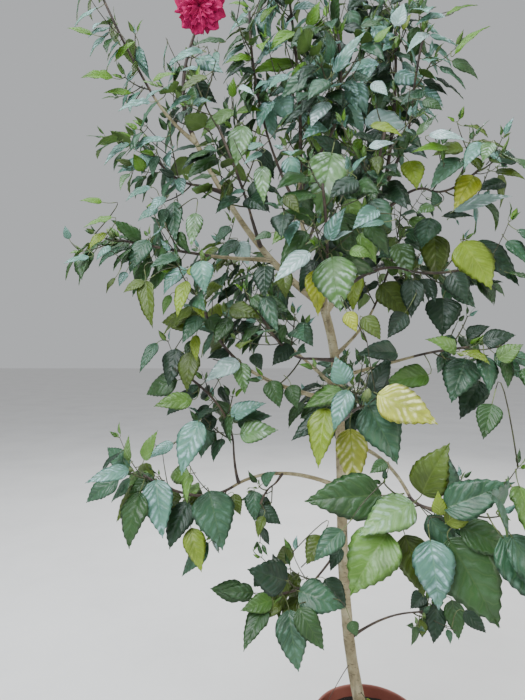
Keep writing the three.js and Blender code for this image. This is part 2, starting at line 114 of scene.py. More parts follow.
# The growth rule of the solids, and the finer growth inside each mass: thin side shoots and smaller
# leaves. A kind of branch has its lift, the lengths tried, its margin to the other masses and its
# clearance from limbs, and its radii at the foot and the tip.
TURN = math.radians(137.5)
TURN_JITTER = 0.7
TWIG_SPACING = 60
TWIGS_LEAST = 4
TWIG_FIRST = 0.08
TWIG_LAST = 0.94
TWIG_ANGLE_FOOT = 1.05
TWIG_ANGLE_TIP = 0.6
TWIG_PULL = 0.5
TWIG_SHORTEST = 0.65
TWIG_SHORTENING = 0.35
TWIG_TESTED_AT = (0.4, 0.6, 0.8, 1)
SPACE_MARGIN = 4
LIMB_CLEARANCE = 8
FINE_LIMB_CLEARANCE = 5
TWIG_KIND = (0.35, (1, 0.75, 0.5, 0.3), SPACE_MARGIN, LIMB_CLEARANCE, 1.8, 1.2)
SHOOT_RADIUS = 1.25
SHOOT_TIP_RADIUS = 0.8
SHOOT_KIND = (0.3, (1, 0.7, 0.45), 0, FINE_LIMB_CLEARANCE, SHOOT_RADIUS, SHOOT_TIP_RADIUS)
SHOOT_SPACING = 42
SHOOT_LENGTHS = (62, 108)
SHOOT_FIRST = 0.2
SHOOT_LAST = 0.95
SHOOT_LEAN = 0.95

# Leaves: their spacing, least size, what is added to it and to their droop; then the clearance from
# other leaves, as a share of their length, and from twigs, other masses and limbs.
RULE_SIZES = (22, 0.8, 0.35, 0)
RULE_ROOM = (0.17, 8, SPACE_MARGIN, LIMB_CLEARANCE)
FINE_SIZES = (20, 0.62, 0.34, 0.3)
FINE_ROOM = (0.1, 4, 0, FINE_LIMB_CLEARANCE)
LEAF_FIRST_ON_TWIG = 0.28
LEAF_FIRST_ON_STEM = 0.3
LEAF_FIRST_ON_SHOOT = 0.3
LEAF_LAST = 0.95
LEAF_HUG = 0.72
LEAF_TRIES = 9
LEAF_DROOPS_TRIED = (0, 0.35, -0.35)
STALK_SHARE = 0.28
STALK_SUNK = 0.7
LEAF_HALF_WIDTH = 0.27
LEAF_FORWARD = 0.4
LEAF_OUTWARD = 0.3
LEAF_DROOP_LEAST = 0.6
LEAF_DROOP_MORE = 0.9
LEAF_ROLL = 1.1
SUN = np.array([-0.3, -0.75, 0.5])
FACE_OUTWARD = 0.45

# Points that stand for a leaf in a search: how far along it, and how far out to its sides.
BLADE_POINTS = np.array(
    [
        (0.28, 0), (0.42, 0.5), (0.42, 0), (0.42, -0.5), (0.55, 1), (0.56, 0.5), (0.57, 0),
        (0.56, -0.5), (0.55, -1), (0.72, 0.5), (0.74, 0), (0.72, -0.5), (0.87, 0), (1, 0),
    ]
)

# The bloom's place, and the room that is kept free for it.
BLOOM_FACING = (-0.1, -0.86, -0.5)
BLOOM_FREE_AHEAD = 30
BLOOM_FREE_RADIUS = 80
BLOOM_AHEAD = 36
BLOOM_LIFT = 20
BLOOM_CLEAR = 46
BLOOM_BEHIND = 30

# Every branch is a bough and the mass at its tip: what carries it and how far along, its radius,
# the point it passes half way, its tip, the end of its mass's stem, and the sizes in that mass.
BRANCHES = (
    ("upper_left", "trunk", 1, 8.5, (-262, -12, 1345), (-398, -22, 1575), (-374, -26, 1838), 120, 80),
    ("upper_right", "trunk", 0.985, 7.5, (-6, 10, 1318), (48, 18, 1500), (66, 14, 1880), 130, 82),
    ("center", "trunk", 0.965, 7, (-138, 48, 1340), (-150, 56, 1520), (-186, 20, 1960), 150, 80),
    ("top_left", "upper_left", 0.96, 4.6, (-440, -32, 1598), (-480, -38, 1650), (-590, -52, 1862), 68, 78),
    ("left_upper", "upper_left", 0.74, 4.4, (-366, -52, 1446), (-384, -66, 1446), (-476, -92, 1510), 110, 82),
    ("left", "upper_left", 0.36, 5, (-296, -54, 1290), (-350, -84, 1290), (-536, -112, 1318), 120, 84),
    (
        "middle_left", "upper_left", 0.44, 4.4,
        (-258, -70, 1356), (-266, -112, 1376), (-330, -150, 1540), 170, 84,
    ),
    ("top_middle", "center", 0.72, 4.4, (-186, 30, 1480), (-220, 14, 1560), (-270, -6, 1860), 140, 80),
    ("front_upper", "center", 0.86, 4.4, (-120, 6, 1520), (-96, -54, 1550), (-84, -118, 1740), 150, 86),
    ("back_upper", "center", 0.5, 4.4, (-112, 100, 1400), (-96, 138, 1480), (-120, 180, 1730), 180, 84),
    ("top_right", "upper_right", 0.9, 4, (76, -14, 1545), (88, -34, 1600), (112, -54, 1780), 86, 80),
    ("right_upper", "upper_right", 0.7, 4, (82, -22, 1440), (124, -52, 1440), (216, -90, 1470), 130, 86),
    ("middle_right", "upper_right", 0.34, 4.2, (-4, -50, 1340), (-2, -92, 1386), (10, -140, 1540), 170, 88),
    ("right", "upper_right", 0.2, 4.2, (16, -14, 1270), (74, -40, 1268), (190, -86, 1262), 130, 92),
    ("front", "trunk", 0.93, 4.6, (-104, -84, 1180), (-112, -148, 1226), (-128, -222, 1400), 160, 92),
    ("left_center", "trunk", 0.775, 5.6, (-196, -38, 1010), (-285, -74, 1060), (-370, -138, 1202), 170, 86),
    ("middle_low", "trunk", 0.87, 4.4, (-116, -52, 1070), (-150, -90, 1072), (-244, -146, 1160), 130, 86),
    ("right_middle", "trunk", 0.83, 4.6, (26, -28, 1056), (92, -50, 1076), (196, -92, 1096), 120, 96),
    ("left_low", "trunk", 0.57, 5, (-196, -42, 818), (-304, -80, 798), (-488, -108, 830), 104, 88),
    ("left_riser", "left_low", 0.93, 3.4, (-298, -78, 838), (-302, -76, 884), (-402, -84, 1036), 90, 78),
    ("left_inner", "left_low", 0.5, 2.8, (-208, -62, 806), (-216, -70, 800), (-244, -92, 764), 40, 52),
    ("lower_left", "trunk", 0.445, 3.6, (-90, -34, 622), (-126, -82, 604), (-200, -132, 594), 64, 88),
    ("front_middle", "trunk", 0.73, 4.2, (-66, -80, 942), (-64, -150, 962), (-56, -226, 986), 116, 104),
    ("right_low", "trunk", 0.68, 4.8, (-6, -136, 874), (14, -290, 838), (86, -380, 838), 110, 122),
    ("right_foot", "trunk", 0.215, 3.2, (24, -16, 480), (92, -28, 504), (134, -36, 512), 40, 44),
    ("back_left", "trunk", 0.8, 4.6, (-126, 78, 1056), (-190, 122, 1116), (-304, 168, 1302), 180, 86),
    ("back_right", "trunk", 0.88, 4.6, (-6, 76, 1136), (38, 122, 1192), (110, 168, 1370), 180, 86),
    ("back_low", "trunk", 0.6, 4.2, (-56, 82, 850), (-48, 124, 884), (-20, 204, 960), 130, 86),
)

# How much of the finer growth a mass has, where it is less than all.
FINE_SHARE = {
    "top_left": 0.15,
    "left_upper": 0.8,
    "left": 0.8,
    "left_center": 0.75,
    "middle_left": 0.75,
    "middle_low": 0.75,
    "left_low": 0.5,
    "left_riser": 0.3,
    "left_inner": 0.4,
    "lower_left": 0.5,
    "front_middle": 0.3,
    "right_middle": 0.5,
    "right_low": 0.45,
    "right_foot": 0.3,
    "right_upper": 0.8,
    "right": 0.8,
    "top_right": 0.5,
}

# Young leaves at the tips of twigs and shoots.
YOUNG_LEAVES = 3
YOUNG_LEAF = 32
YOUNG_SIZES = (0.6, 1.4)
YOUNG_DROOP = (-0.5, 0.1)
YOUNG_LEAF_HALF = 0.2
YOUNG_ALONG = 0.99
YOUNG_FORWARD = 0.9

# Low on the trunk, a green sprout and a bare dry twig: how far up the trunk, how far they reach,
# their bend's lift, their tip's radius, their steps and their bark.
LOW_TWIG_RADIUS = 1.3
SPROUT = (0.1, (16, -24, -10), 5, 0.8, 6, 1)
DRY_TWIG = (0.165, (-62, -52, -60), 8, 0.5, 8, 0)

# Leaf blade: lines run out and forward from the midrib, every second one a vein to a tooth.
OUTLINE_ALONG = (0, 0.03, 0.08, 0.16, 0.26, 0.36, 0.48, 0.6, 0.7, 0.78, 0.85, 0.91, 0.96, 1)
OUTLINE_WIDTH = (0, 0.36, 0.66, 0.9, 1, 0.98, 0.88, 0.71, 0.53, 0.37, 0.23, 0.13, 0.06, 0)
LINE_CROWDING = 0.95
LINE_SWEEP = 0.33
LINE_STEP = 0.008
LAST_LINE_FOOT = 0.985
BLADE_FOOT_WIDTH = 0.1
BLADE_TIP_WIDTH = 0.02
TOOTHED_FROM = 0.3
TOOTHED_TO = 0.96
TEETH_ON = (0.008, -0.005)
MIDRIB_SUNK = 0.6
QUILT = 0.016
BLADE_THICKNESS = 0.35
BLADE_HALF = (0.23, 0.31)
TOOTH = 0.011 / BLADE_HALF[0]
TEETH_OUT = (0.6 * TOOTH, -0.4 * TOOTH)
BLADE_FOLD = (0.05, 0.35)
BLADE_CURL = (0.2, 1.0)
BLADE_WAVES = (1.5, 3.0)
BLADE_WAVE_HEIGHT = (0.012, 0.034)
BLADE_BEND = (0.35, 0.95)
BLADE_TWIST = (-0.35, 0.35)
SIDES_SHIFT = 0.3
STALK_PULL = 0.5
STALK_IN_BLADE = 0.02
STALK_RADIUS = 0.55
STALK_RADIUS_MORE = 0.004
STALK_FOOT_MORE = 0.5

# Leaves that the photograph shows plainly, by tint. Each row holds the foot of its blade and its tip,
# in the photograph's 525 by 700 pixels, and its half width as a share of its length. It stands on the
# nearest twig, the paler ones a little further forward.
PICTURE_WIDTH = 525
PICTURE_HEIGHT = 700
SEEN_LEAVES = {
    "deep": (
        (174, 176, 158, 169, 0.3), (196, 146, 168, 155, 0.15), (356, 179, 329, 199, 0.35),
        (341, 155, 311, 136, 0.32), (265, 266, 265, 299, 0.33), (177, 349, 168, 388, 0.33),
        (229, 354, 206, 359, 0.3), (253, 354, 262, 371, 0.35), (291, 345, 272, 366, 0.35),
        (443, 298, 442, 338, 0.42), (451, 273, 468, 304, 0.36), (473, 243, 520, 287, 0.25),
        (413, 280, 411, 319, 0.3), (405, 313, 387, 339, 0.3), (480, 381, 459, 421, 0.3),
        (483, 342, 517, 335, 0.33), (466, 336, 491, 326, 0.3), (443, 216, 476, 217, 0.15),
        (188, 502, 169, 551, 0.3), (261, 508, 282, 525, 0.33), (424, 594, 410, 609, 0.42),
        (436, 606, 433, 645, 0.28), (464, 611, 487, 634, 0.28),
        (287, 581, 246, 569, 0.4), (325, 579, 347, 609, 0.33), (341, 548, 330, 572, 0.28),
        (397, 353, 355, 355, 0.26), (504, 182, 476, 192, 0.28),
    ),
    "green": (
        (212, 176, 189, 182, 0.22), (225, 41, 193, 46, 0.18), (297, 64, 280, 72, 0.2),
        (361, 26, 385, 26, 0.2), (423, 100, 443, 111, 0.3), (271, 233, 253, 241, 0.3),
        (208, 318, 227, 336, 0.34), (291, 385, 298, 410, 0.35), (270, 381, 280, 409, 0.35),
        (492, 404, 483, 440, 0.33), (140, 492, 129, 551, 0.28),
        (153, 476, 128, 495, 0.28), (448, 539, 500, 629, 0.34), (460, 527, 522, 558, 0.28),
        (299, 608, 325, 652, 0.27), (192, 340, 188, 366, 0.24), (230, 318, 214, 345, 0.3),
        (351, 621, 357, 637, 0.42), (452, 600, 459, 641, 0.27), (386, 462, 369, 474, 0.32),
    ),
    "teal": (
        (255, 72, 234, 72, 0.24), (156, 156, 153, 178, 0.25), (205, 148, 218, 152, 0.3),
        (143, 177, 129, 188, 0.3), (423, 90, 400, 106, 0.3), (438, 206, 431, 190, 0.38),
        (461, 159, 429, 191, 0.22), (430, 218, 421, 250, 0.38), (416, 212, 399, 217, 0.17),
        (229, 226, 215, 246, 0.32), (237, 240, 215, 266, 0.3), (174, 202, 176, 243, 0.24),
        (178, 257, 149, 268, 0.25), (148, 240, 129, 275, 0.27), (199, 316, 182, 344, 0.28),
        (157, 343, 139, 374, 0.18), (466, 359, 451, 404, 0.38), (368, 406, 398, 466, 0.36),
        (444, 509, 516, 482, 0.26), (289, 610, 299, 674, 0.28),
        (209, 491, 223, 552, 0.36), (254, 491, 255, 523, 0.32),
        (299, 591, 347, 609, 0.34), (342, 530, 313, 563, 0.28), (165, 209, 163, 228, 0.3),
    ),
    # Leaves painted pale blue-green with the sky's reflection.
    "sky": (
        (277, 97, 292, 122, 0.42), (271, 102, 259, 133, 0.28), (289, 76, 267, 91, 0.25),
        (203, 52, 171, 64, 0.22), (203, 69, 179, 72, 0.18), (150, 102, 117, 112, 0.2),
        (146, 100, 165, 89, 0.2), (191, 96, 166, 114, 0.16), (193, 103, 212, 102, 0.25),
        (180, 178, 183, 196, 0.28), (244, 191, 229, 196, 0.24), (248, 148, 265, 145, 0.28),
        (262, 153, 243, 165, 0.2), (215, 52, 219, 64, 0.25), (334, 73, 366, 31, 0.2),
        (444, 16, 413, 27, 0.2), (396, 73, 424, 86, 0.44), (378, 63, 342, 76, 0.2),
        (482, 143, 463, 171, 0.26), (377, 209, 352, 230, 0.28), (384, 222, 359, 228, 0.16),
        (185, 268, 163, 296, 0.3), (201, 261, 205, 294, 0.34), (89, 257, 63, 264, 0.16),
        (110, 246, 96, 261, 0.3), (126, 272, 119, 287, 0.3), (150, 187, 125, 202, 0.22),
        (158, 209, 137, 222, 0.22), (165, 197, 148, 215, 0.25), (69, 239, 65, 225, 0.3),
        (345, 384, 335, 356, 0.38), (348, 390, 333, 433, 0.24), (129, 470, 83, 484, 0.2),
        (173, 443, 146, 460, 0.24), (231, 415, 267, 403, 0.25), (328, 240, 347, 206, 0.28),
        (430, 540, 439, 612, 0.31), (156, 480, 163, 540, 0.27), (199, 421, 181, 477, 0.26),
    ),
    # Leaves painted near-white with the sky's reflection.
    "frost": (
        (326, 102, 311, 128, 0.34), (239, 87, 255, 96, 0.2), (397, 26, 404, 3, 0.42),
        (428, 34, 406, 54, 0.18), (372, 83, 388, 96, 0.34), (366, 118, 414, 134, 0.34),
        (429, 135, 467, 141, 0.18), (369, 147, 395, 143, 0.22), (330, 240, 353, 231, 0.17),
        (309, 252, 273, 283, 0.2), (239, 242, 249, 266, 0.34), (239, 362, 204, 383, 0.25),
        (454, 211, 514, 196, 0.14),
    ),
    "olive": (
        (132, 165, 115, 160, 0.25), (283, 271, 286, 300, 0.3), (115, 278, 106, 294, 0.22),
        (144, 281, 123, 293, 0.25), (146, 281, 153, 329, 0.2), (230, 308, 262, 319, 0.32),
        (191, 352, 187, 393, 0.3), (381, 284, 410, 319, 0.33), (363, 317, 381, 341, 0.33),
        (434, 235, 436, 283, 0.3), (234, 494, 241, 516, 0.3), (322, 536, 306, 566, 0.36),
        (280, 602, 265, 620, 0.3), (422, 494, 451, 441, 0.32), (286, 196, 300, 214, 0.3),
        (405, 535, 424, 598, 0.3),
    ),
    "mid": (
        (428, 375, 382, 384, 0.26), (272, 600, 240, 611, 0.3),
        (397, 274, 381, 258, 0.3), (409, 220, 440, 232, 0.26), (170, 295, 163, 316, 0.22),
    ),
    "light": (
        (112, 217, 83, 228, 0.2), (350, 251, 374, 258, 0.33), (192, 400, 152, 407, 0.25),
        (128, 461, 129, 434, 0.14), (144, 460, 158, 430, 0.2),
        (388, 533, 349, 598, 0.36), (498, 359, 524, 344, 0.36), (456, 351, 424, 339, 0.26),
        (233, 110, 200, 139, 0.24),
    ),
    "pale": ((413, 503, 356, 538, 0.29),),
    "backlit": (
        (296, 64, 249, 74, 0.2), (293, 32, 269, 52, 0.24), (309, 26, 321, 0, 0.38),
        (261, 22, 278, 5, 0.28), (249, 7, 228, 4, 0.22), (251, 57, 224, 64, 0.26),
        (153, 81, 177, 74, 0.22), (116, 59, 136, 41, 0.28), (113, 78, 80, 78, 0.22),
        (131, 93, 103, 93, 0.18), (92, 34, 67, 28, 0.22), (233, 97, 234, 76, 0.28),
        (143, 171, 133, 153, 0.34), (154, 155, 138, 152, 0.25), (375, 42, 393, 25, 0.34),
        (448, 149, 410, 153, 0.16), (455, 54, 492, 25, 0.12), (446, 15, 479, 5, 0.12),
        (102, 202, 79, 201, 0.24),
    ),
    "lime": (
        (403, 30, 412, 13, 0.2), (371, 125, 403, 137, 0.2), (409, 161, 417, 191, 0.36),
        (462, 242, 492, 291, 0.36), (356, 275, 353, 313, 0.24), (187, 281, 177, 318, 0.22),
        (106, 233, 86, 252, 0.22), (196, 335, 197, 363, 0.2), (191, 528, 202, 574, 0.26),
        (446, 523, 481, 499, 0.28), (440, 515, 438, 490, 0.28), (326, 408, 318, 471, 0.24),
    ),
    "gold": (
        (474, 176, 453, 211, 0.28), (347, 312, 357, 333, 0.34), (316, 270, 318, 317, 0.25),
    ),
    "cream": ((378, 394, 439, 425, 0.31), (350, 429, 353, 492, 0.26)),
    # Leaves with painted sheen in stripes between their veins.
    "striped": (
        (332, 153, 317, 220, 0.27), (332, 257, 341, 314, 0.38), (243, 126, 235, 169, 0.27),
        (262, 166, 264, 205, 0.22), (397, 244, 410, 280, 0.32), (417, 135, 438, 114, 0.18),
        (491, 143, 482, 163, 0.3), (433, 206, 416, 214, 0.34), (196, 213, 191, 248, 0.24),
        (129, 174, 120, 191, 0.3), (241, 363, 245, 395, 0.28), (240, 434, 279, 430, 0.3),
    ),
}
SEEN_FORWARD = {
    "deep": 4, "olive": 10, "green": 12, "mid": 14, "lime": 16, "gold": 16, "teal": 22,
    "backlit": 24, "light": 26, "pale": 30, "sky": 30, "striped": 34, "cream": 36, "frost": 36,
}
SEEN_FACE = np.array([-0.2, -0.85, 0.5])
SEEN_ROLL = 0.5
SEEN_TIP_FORWARD = 0.22
SEEN_STALK = 24
SEEN_LONGEST_SHOOT = 110
SEEN_DEPTH_COST = 0.07
SEEN_CLEARANCE = 7
SEEN_STEP = 8
SEEN_STEPS_TRIED = 5
CARRIER_FIRST = 0.2
CARRIERS_OF_A_TWIG = 6
SEEN_SHOOT_SWEEP = 0.3
SEEN_SHOOT_LIFT = 0.12
PROUD_OF_BOX = 26
FURTHEST = 5

# Which tints a mass's sprays are dealt, the yellowing ones where the plant has them.
USUAL_TINTS = ("deep", "green", "teal", "green", "deep", "olive", "teal")
TINTS_BY_MASS = {
    "upper_left": ("teal", "green", "backlit", "sky", "deep"),
    "center": ("teal", "green", "backlit", "deep", "sky"),
    "upper_right": ("teal", "green", "deep", "sky", "backlit"),
    "top_left": ("teal", "green", "teal", "sky"),
    "top_middle": ("teal", "backlit", "green", "sky", "deep"),
    "top_right": ("teal", "green", "sky", "deep"),
    "front_upper": ("teal", "sky", "green", "deep", "teal"),
    "left": ("teal", "green", "sky", "olive", "green"),
    "left_upper": ("backlit", "teal", "green", "sky"),
    "left_center": ("green", "olive", "teal", "deep", "green", "lime"),
    "front": ("teal", "green", "light", "deep", "sky", "green"),
    "right_middle": ("green", "teal", "lime", "deep", "green"),
    "front_middle": ("green", "lime", "teal", "deep", "mid"),
    "right_upper": ("green", "teal", "olive", "lime", "deep", "sky"),
    "left_low": ("green", "mid", "teal", "deep", "olive", "light"),
    "right_low": ("green", "mid", "green", "light", "teal"),
    "lower_left": ("deep", "green", "teal", "olive"),
}
YOUNG_TINTS = ("mid", "green", "backlit", "teal", "green", "sky", "light")
STRAY_TINT = 0.15
MOST_TRIANGLES = 195000
TRIANGLES_OF_A_MASS = 60000

# Bark: ranges that its swells, creases and leaf scars are drawn from, and a scar's three humps. A
# hump has its half width and its place and half length along the limb; its height is a share of the
# scar's depth, and more.
ANY_TURN = 6.3
SWELLS = 7
SWELL_DEPTH = (0.05, 0.14)
SWELL_WAVES = (1, 5)
SWELL_RATE = (0.02, 0.12)
CREASES = 4
CREASE_DEPTH = (0.02, 0.05)
CREASE_RATE = (0.7, 2.0)
CREASE_BEND = 0.6
SCAR_SPACING = 27
SCAR_SPACING_SHARE = (0.6, 1.4)
SCAR_DEPTH = (0.35, 0.95)
SCAR_HUMPS = ((0.5, 0, 2.6, 1, 0), (0.6, 3.4, 1.1, -0.45, 0), (math.inf, 1.5, 1.0, 0, -0.22))
FLARE_LOBES = 3
FLARE_LOBE_SHARE = 0.4
FLARE_TURN = 0.7
TRUNK_DOME = 0.012
TRUNK_DOME_LEAST = 0.02
COLLAR = 0.32
COLLAR_LENGTH = 16
THICK_BOUGH = 4.5
LONG_STEM = 60
STEM_SUNK = 0.02

# Sides and steps of the limbs' meshes; for the trunk and boughs, a step's length.
TRUNK_MESH = (40, 2.2)
BOUGH_MESH = (14, 4)
BOUGH_STEPS_LEAST = 12
STEM_MESH = (8, 16)
TWIG_MESH = (6, 7)
SHOOT_MESH = (5, 4)
SEEN_SHOOT_MESH = (5, 6)
BUD_STALK_MESH = (5, 4)
PEDUNCLE_MESH = (8, 16)
LOW_TWIG_SIDES = 5

# The pot's section in radii and heights: its foot, and its band and rolled lip down the inner side.
POT_SIDES = 144
POT_FOOT_SECTION = ((30, 2), (66, 2), (72, 0.5), (76, 0), (84, 0), (86.6, 0.8))
POT_FOOT_ROUND = 3
POT_RIM_SECTION = (
    (119.4, 222), (121, 222.7), (122.7, 223.2), (123.7, 224.2), (124, 226), (124, 232), (124, 239),
    (123.8, 242.2), (123.1, 243.2), (122.9, 243.8), (123.3, 244.6), (123.9, 245.8), (124, 247.2),
    (123.6, 248.6), (122.7, 249.6), (121.4, 250), (119.8, 249.8), (118.5, 249), (117.6, 247.8),
    (117.1, 246), (116.8, 242), (116.4, 234), (116, 223),
)
POT_WALL_HEIGHTS = (8, 221)
POT_INNER_HEIGHTS = (215, 12)
POT_WALL_RINGS = 24
POT_INNER_RINGS = 12
POT_CORNER = 4
POT_HOLLOW = 30

# Soil: rough by width, level and share of its bumps; crumbs and pale grains by least size, what is
# added to it, and the power that makes large ones rare.
SOIL_RINGS = 44
SOIL_SIDES = 96
SOIL_RADIUS = 115.4
SOIL_LAST_RADIUS = 2
SOIL_BODY_DOWN = 1
SOIL_FOOT_RADII = (40, 84)
SOIL_WALL_HEIGHTS = (90, 180, 216)
SOIL_ROUGHNESS = 2.4
SOIL_BUMPS = ((22, 3, 0.9), (5, 9, 0.55))
CRUMBS = 420
PALE_GRAINS = 130
CRUMB_SIZES = (1.0, 3.2, 3)
GRAIN_SIZES = (0.5, 0.9, 2)
CRUMB_STRETCH = ((0.8, 1.4), (0.8, 1.4), (0.6, 1.0))
CRUMB_WOBBLE = (0.8, 1.15)
CRUMB_MARGIN = 5
CRUMB_LIFT = 0.25

# Bloom: its rings of petals, each with count, length, half width, how far it stands up, ruffle and
# first turn. The calyx's rings of lobes and bracts have count, length, half width, opening and turn.
PETAL_RINGS = (
    (5, 53, 31, 0.10, 5.0, 0.1),
    (5, 48, 27, 0.32, 6.0, 0.75),
    (6, 40, 22, 0.55, 6.0, 0.3),
    (6, 31, 17, 0.8, 5.5, 0.9),
    (5, 22, 12, 1.05, 4.5, 0.5),
)
PETAL_ROWS = 15
PETAL_COLUMNS = 17
PETAL_LENGTHS = (0.9, 1.04)
PETAL_THICKNESS = 0.4
PETAL_JITTER = 0.25
PETAL_FOOT = 0.03
PETAL_ROUNDING = 0.16
PETAL_SCALLOPS = ((6, 0.035), (15, 0.02))
PETAL_CLAW = 0.12
PETAL_SPREAD = 1.15
PETAL_SPREAD_POWER = 1.2
PETAL_LEVELLING = 0.35
PETAL_FALL = 0.1
PETAL_CUP = 0.12
ANY_TURN_OF_RUFFLE = 6
RUFFLE_WAVES = (((5, 7), 1), ((11, 14), 0.6))
SWING_WAVES = 7
SWING_SHARE = 0.8
CALYX_LENGTH = 24
CALYX_THICKNESS = 0.5
CALYX_FULLNESS = 1.15
CALYX_POINT_POWER = 2.2
CALYX_TIP = 0.02
CALYX_CURVE = 1.5
CALYX_OPEN_LEAST = 0.6
CALYX_FOOT_RADIUS = 0.12
CALYX_SPREAD = 0.36
CALYX_BACK = 0.08
CALYX_HOLLOW = 0.4
CALYX_RINGS = ((5, 1.0, 0.36, 0.35, 0), (7, 0.7, 0.07, 0.75, 0.3))
PEDUNCLE_ALONG = 0.98
PEDUNCLE_PULL = (0, 14, 4)
PEDUNCLE_RADII = (2.4, 1.6)

# Buds: the masses that end in one, and its length; its section and stalk, as shares of that length.
BUD_SIZES = {
    "right_middle": 30, "front_middle": 30, "center": 26, "top_right": 24, "left": 22, "left_upper": 22,
    "right": 24, "top_left": 20, "upper_right": 22, "front_upper": 20,
}
BUD_PROFILE = (
    (0.06, 0.0), (0.2, 0.05), (0.26, 0.18), (0.28, 0.38), (0.25, 0.58), (0.18, 0.78), (0.08, 0.95),
)
BUD_SIDES = 10
BUD_ALONG = 0.99
BUD_LIFT = 0.35
BUD_STALK = 0.8
BUD_STALK_RADII = (1.0, 0.9)
BUD_CALYX = 0.62
BUD_CALYX_BACK = 0.05

# Seeds.
SIGHT_SEED = 1201
LOOKS_SEED = 977
TRUNK_SEED = 401
BOUGH_SEED = 500
CRUMB_SEED = 733
PETAL_SEED = 613

# The leaves' tints, dealt out by spray: the blade, its veins, the painted sheen on the swells between them,
# roughness.
TINTS = {
    "deep": ((0.010, 0.032, 0.014), (0.026, 0.058, 0.022), (0.020, 0.052, 0.030), 0.38),
    "green": ((0.026, 0.072, 0.018), (0.056, 0.115, 0.030), (0.048, 0.115, 0.044), 0.38),
    "teal": ((0.036, 0.098, 0.050), (0.070, 0.145, 0.062), (0.086, 0.182, 0.122), 0.36),
    # The next two tints paint the sky's reflection over the whole blade: pale blue-green, and near-white.
    "sky": ((0.1, 0.235, 0.175), (0.13, 0.28, 0.17), (0.35, 0.55, 0.57), 0.34),
    "frost": ((0.33, 0.49, 0.46), (0.25, 0.43, 0.32), (0.7, 0.83, 0.88), 0.36),
    "olive": ((0.058, 0.094, 0.008), (0.1, 0.15, 0.018), (0.095, 0.15, 0.028), 0.4),
    "mid": ((0.050, 0.128, 0.016), (0.095, 0.185, 0.034), (0.092, 0.195, 0.052), 0.38),
    "light": ((0.1, 0.21, 0.034), (0.17, 0.3, 0.075), (0.2, 0.35, 0.13), 0.38),
    "backlit": ((0.085, 0.21, 0.010), (0.16, 0.3, 0.03), (0.135, 0.29, 0.028), 0.4),
    "lime": ((0.165, 0.25, 0.014), (0.26, 0.34, 0.045), (0.24, 0.34, 0.04), 0.4),
    "gold": ((0.3, 0.34, 0.018), (0.2, 0.28, 0.024), (0.48, 0.54, 0.09), 0.4),
    "pale": ((0.15, 0.28, 0.085), (0.23, 0.38, 0.14), (0.32, 0.5, 0.34), 0.36),
    "cream": ((0.5, 0.53, 0.07), (0.36, 0.44, 0.04), (0.86, 0.86, 0.42), 0.4),
    # This tint's pale stripes between the veins are painted sheen on the swells.
    "striped": ((0.095, 0.2, 0.06), (0.075, 0.17, 0.03), (0.38, 0.54, 0.42), 0.38),
}

# A leaf's looks: the scales of its noises, and the ranges that they fade over, with what they fade
# from and to. Its veins wander by a noise; it swells between them, with painted sheen in broken patches.
LEAF_GLOSS = 0.45
LEAF_TONE_SCALE = 16
LEAF_DARKER = 0.6
LEAF_PALER = 1.45
VEIN_WANDER = (45, 1.2, -0.1)
VEIN_STRENGTH = 0.8
SIDE_VEIN = (0.02, 0.1, 0.6, 0.0)
MIDRIB = (0.015, 0.06, 0.9, 0.0)
NET_SCALE = 420
NET = (0.0, 0.12, 0.1, 0.0)
BULGED = (0.12, 0.42)
BULGE_HEIGHT = 0.8
PATCH_SCALE = 34
PATCHES = (0.4, 0.6)
BROKEN_SCALE = 130
BROKEN = (0.36, 0.56, 0.25, 1.0)
LEAF_GRAIN_SCALE = 260
LEAF_GRAIN_HEIGHT = 0.5
LEAF_RELIEF = (0.0012, 0.5)
SHINE_SCALE = 30
SHINE = (0.3, 0.7)
SHINE_LESS = 0.06
SHINE_MORE = 0.1

# A petal's looks: its tones from foot to edge, its veins, and patches of painted highlight over them.
PETAL_COLOUR = (0.5, 0.01, 0.06)
PETAL_ROUGHNESS = 0.6
PETAL_GLOSS = 0.25
PETAL_TONES = ((0.0, (0.1, 0.001, 0.014)), (0.45, (0.28, 0.002, 0.045)), (1.0, (0.56, 0.006, 0.115)))
PETAL_VEINS = 26
PETAL_VEIN = (0.55, 1.0, 0.0, 0.35)
PETAL_VEIN_COLOUR = (0.2, 0.002, 0.03)
# Painted highlight: bright pink patches by noise over the petals, their scale, fade and colour.
PETAL_HIGHLIGHT_SCALE = 60
PETAL_HIGHLIGHT = (0.4, 0.7, 0.0, 0.4)
PETAL_HIGHLIGHT_COLOUR = (0.85, 0.04, 0.26)
PETAL_RELIEF = (0.0006, 0.5)

# Where the three tones of a material lie in its noise, and how fine its noises are.
TONE_STOPS = (0.32, 0.5, 0.7)
TONE_DETAIL = (5, 0.6)
RELIEF_DETAIL = (5, 0.65)
RELIEF_STRENGTH = 0.6
SPECK_STRENGTH = 0.75

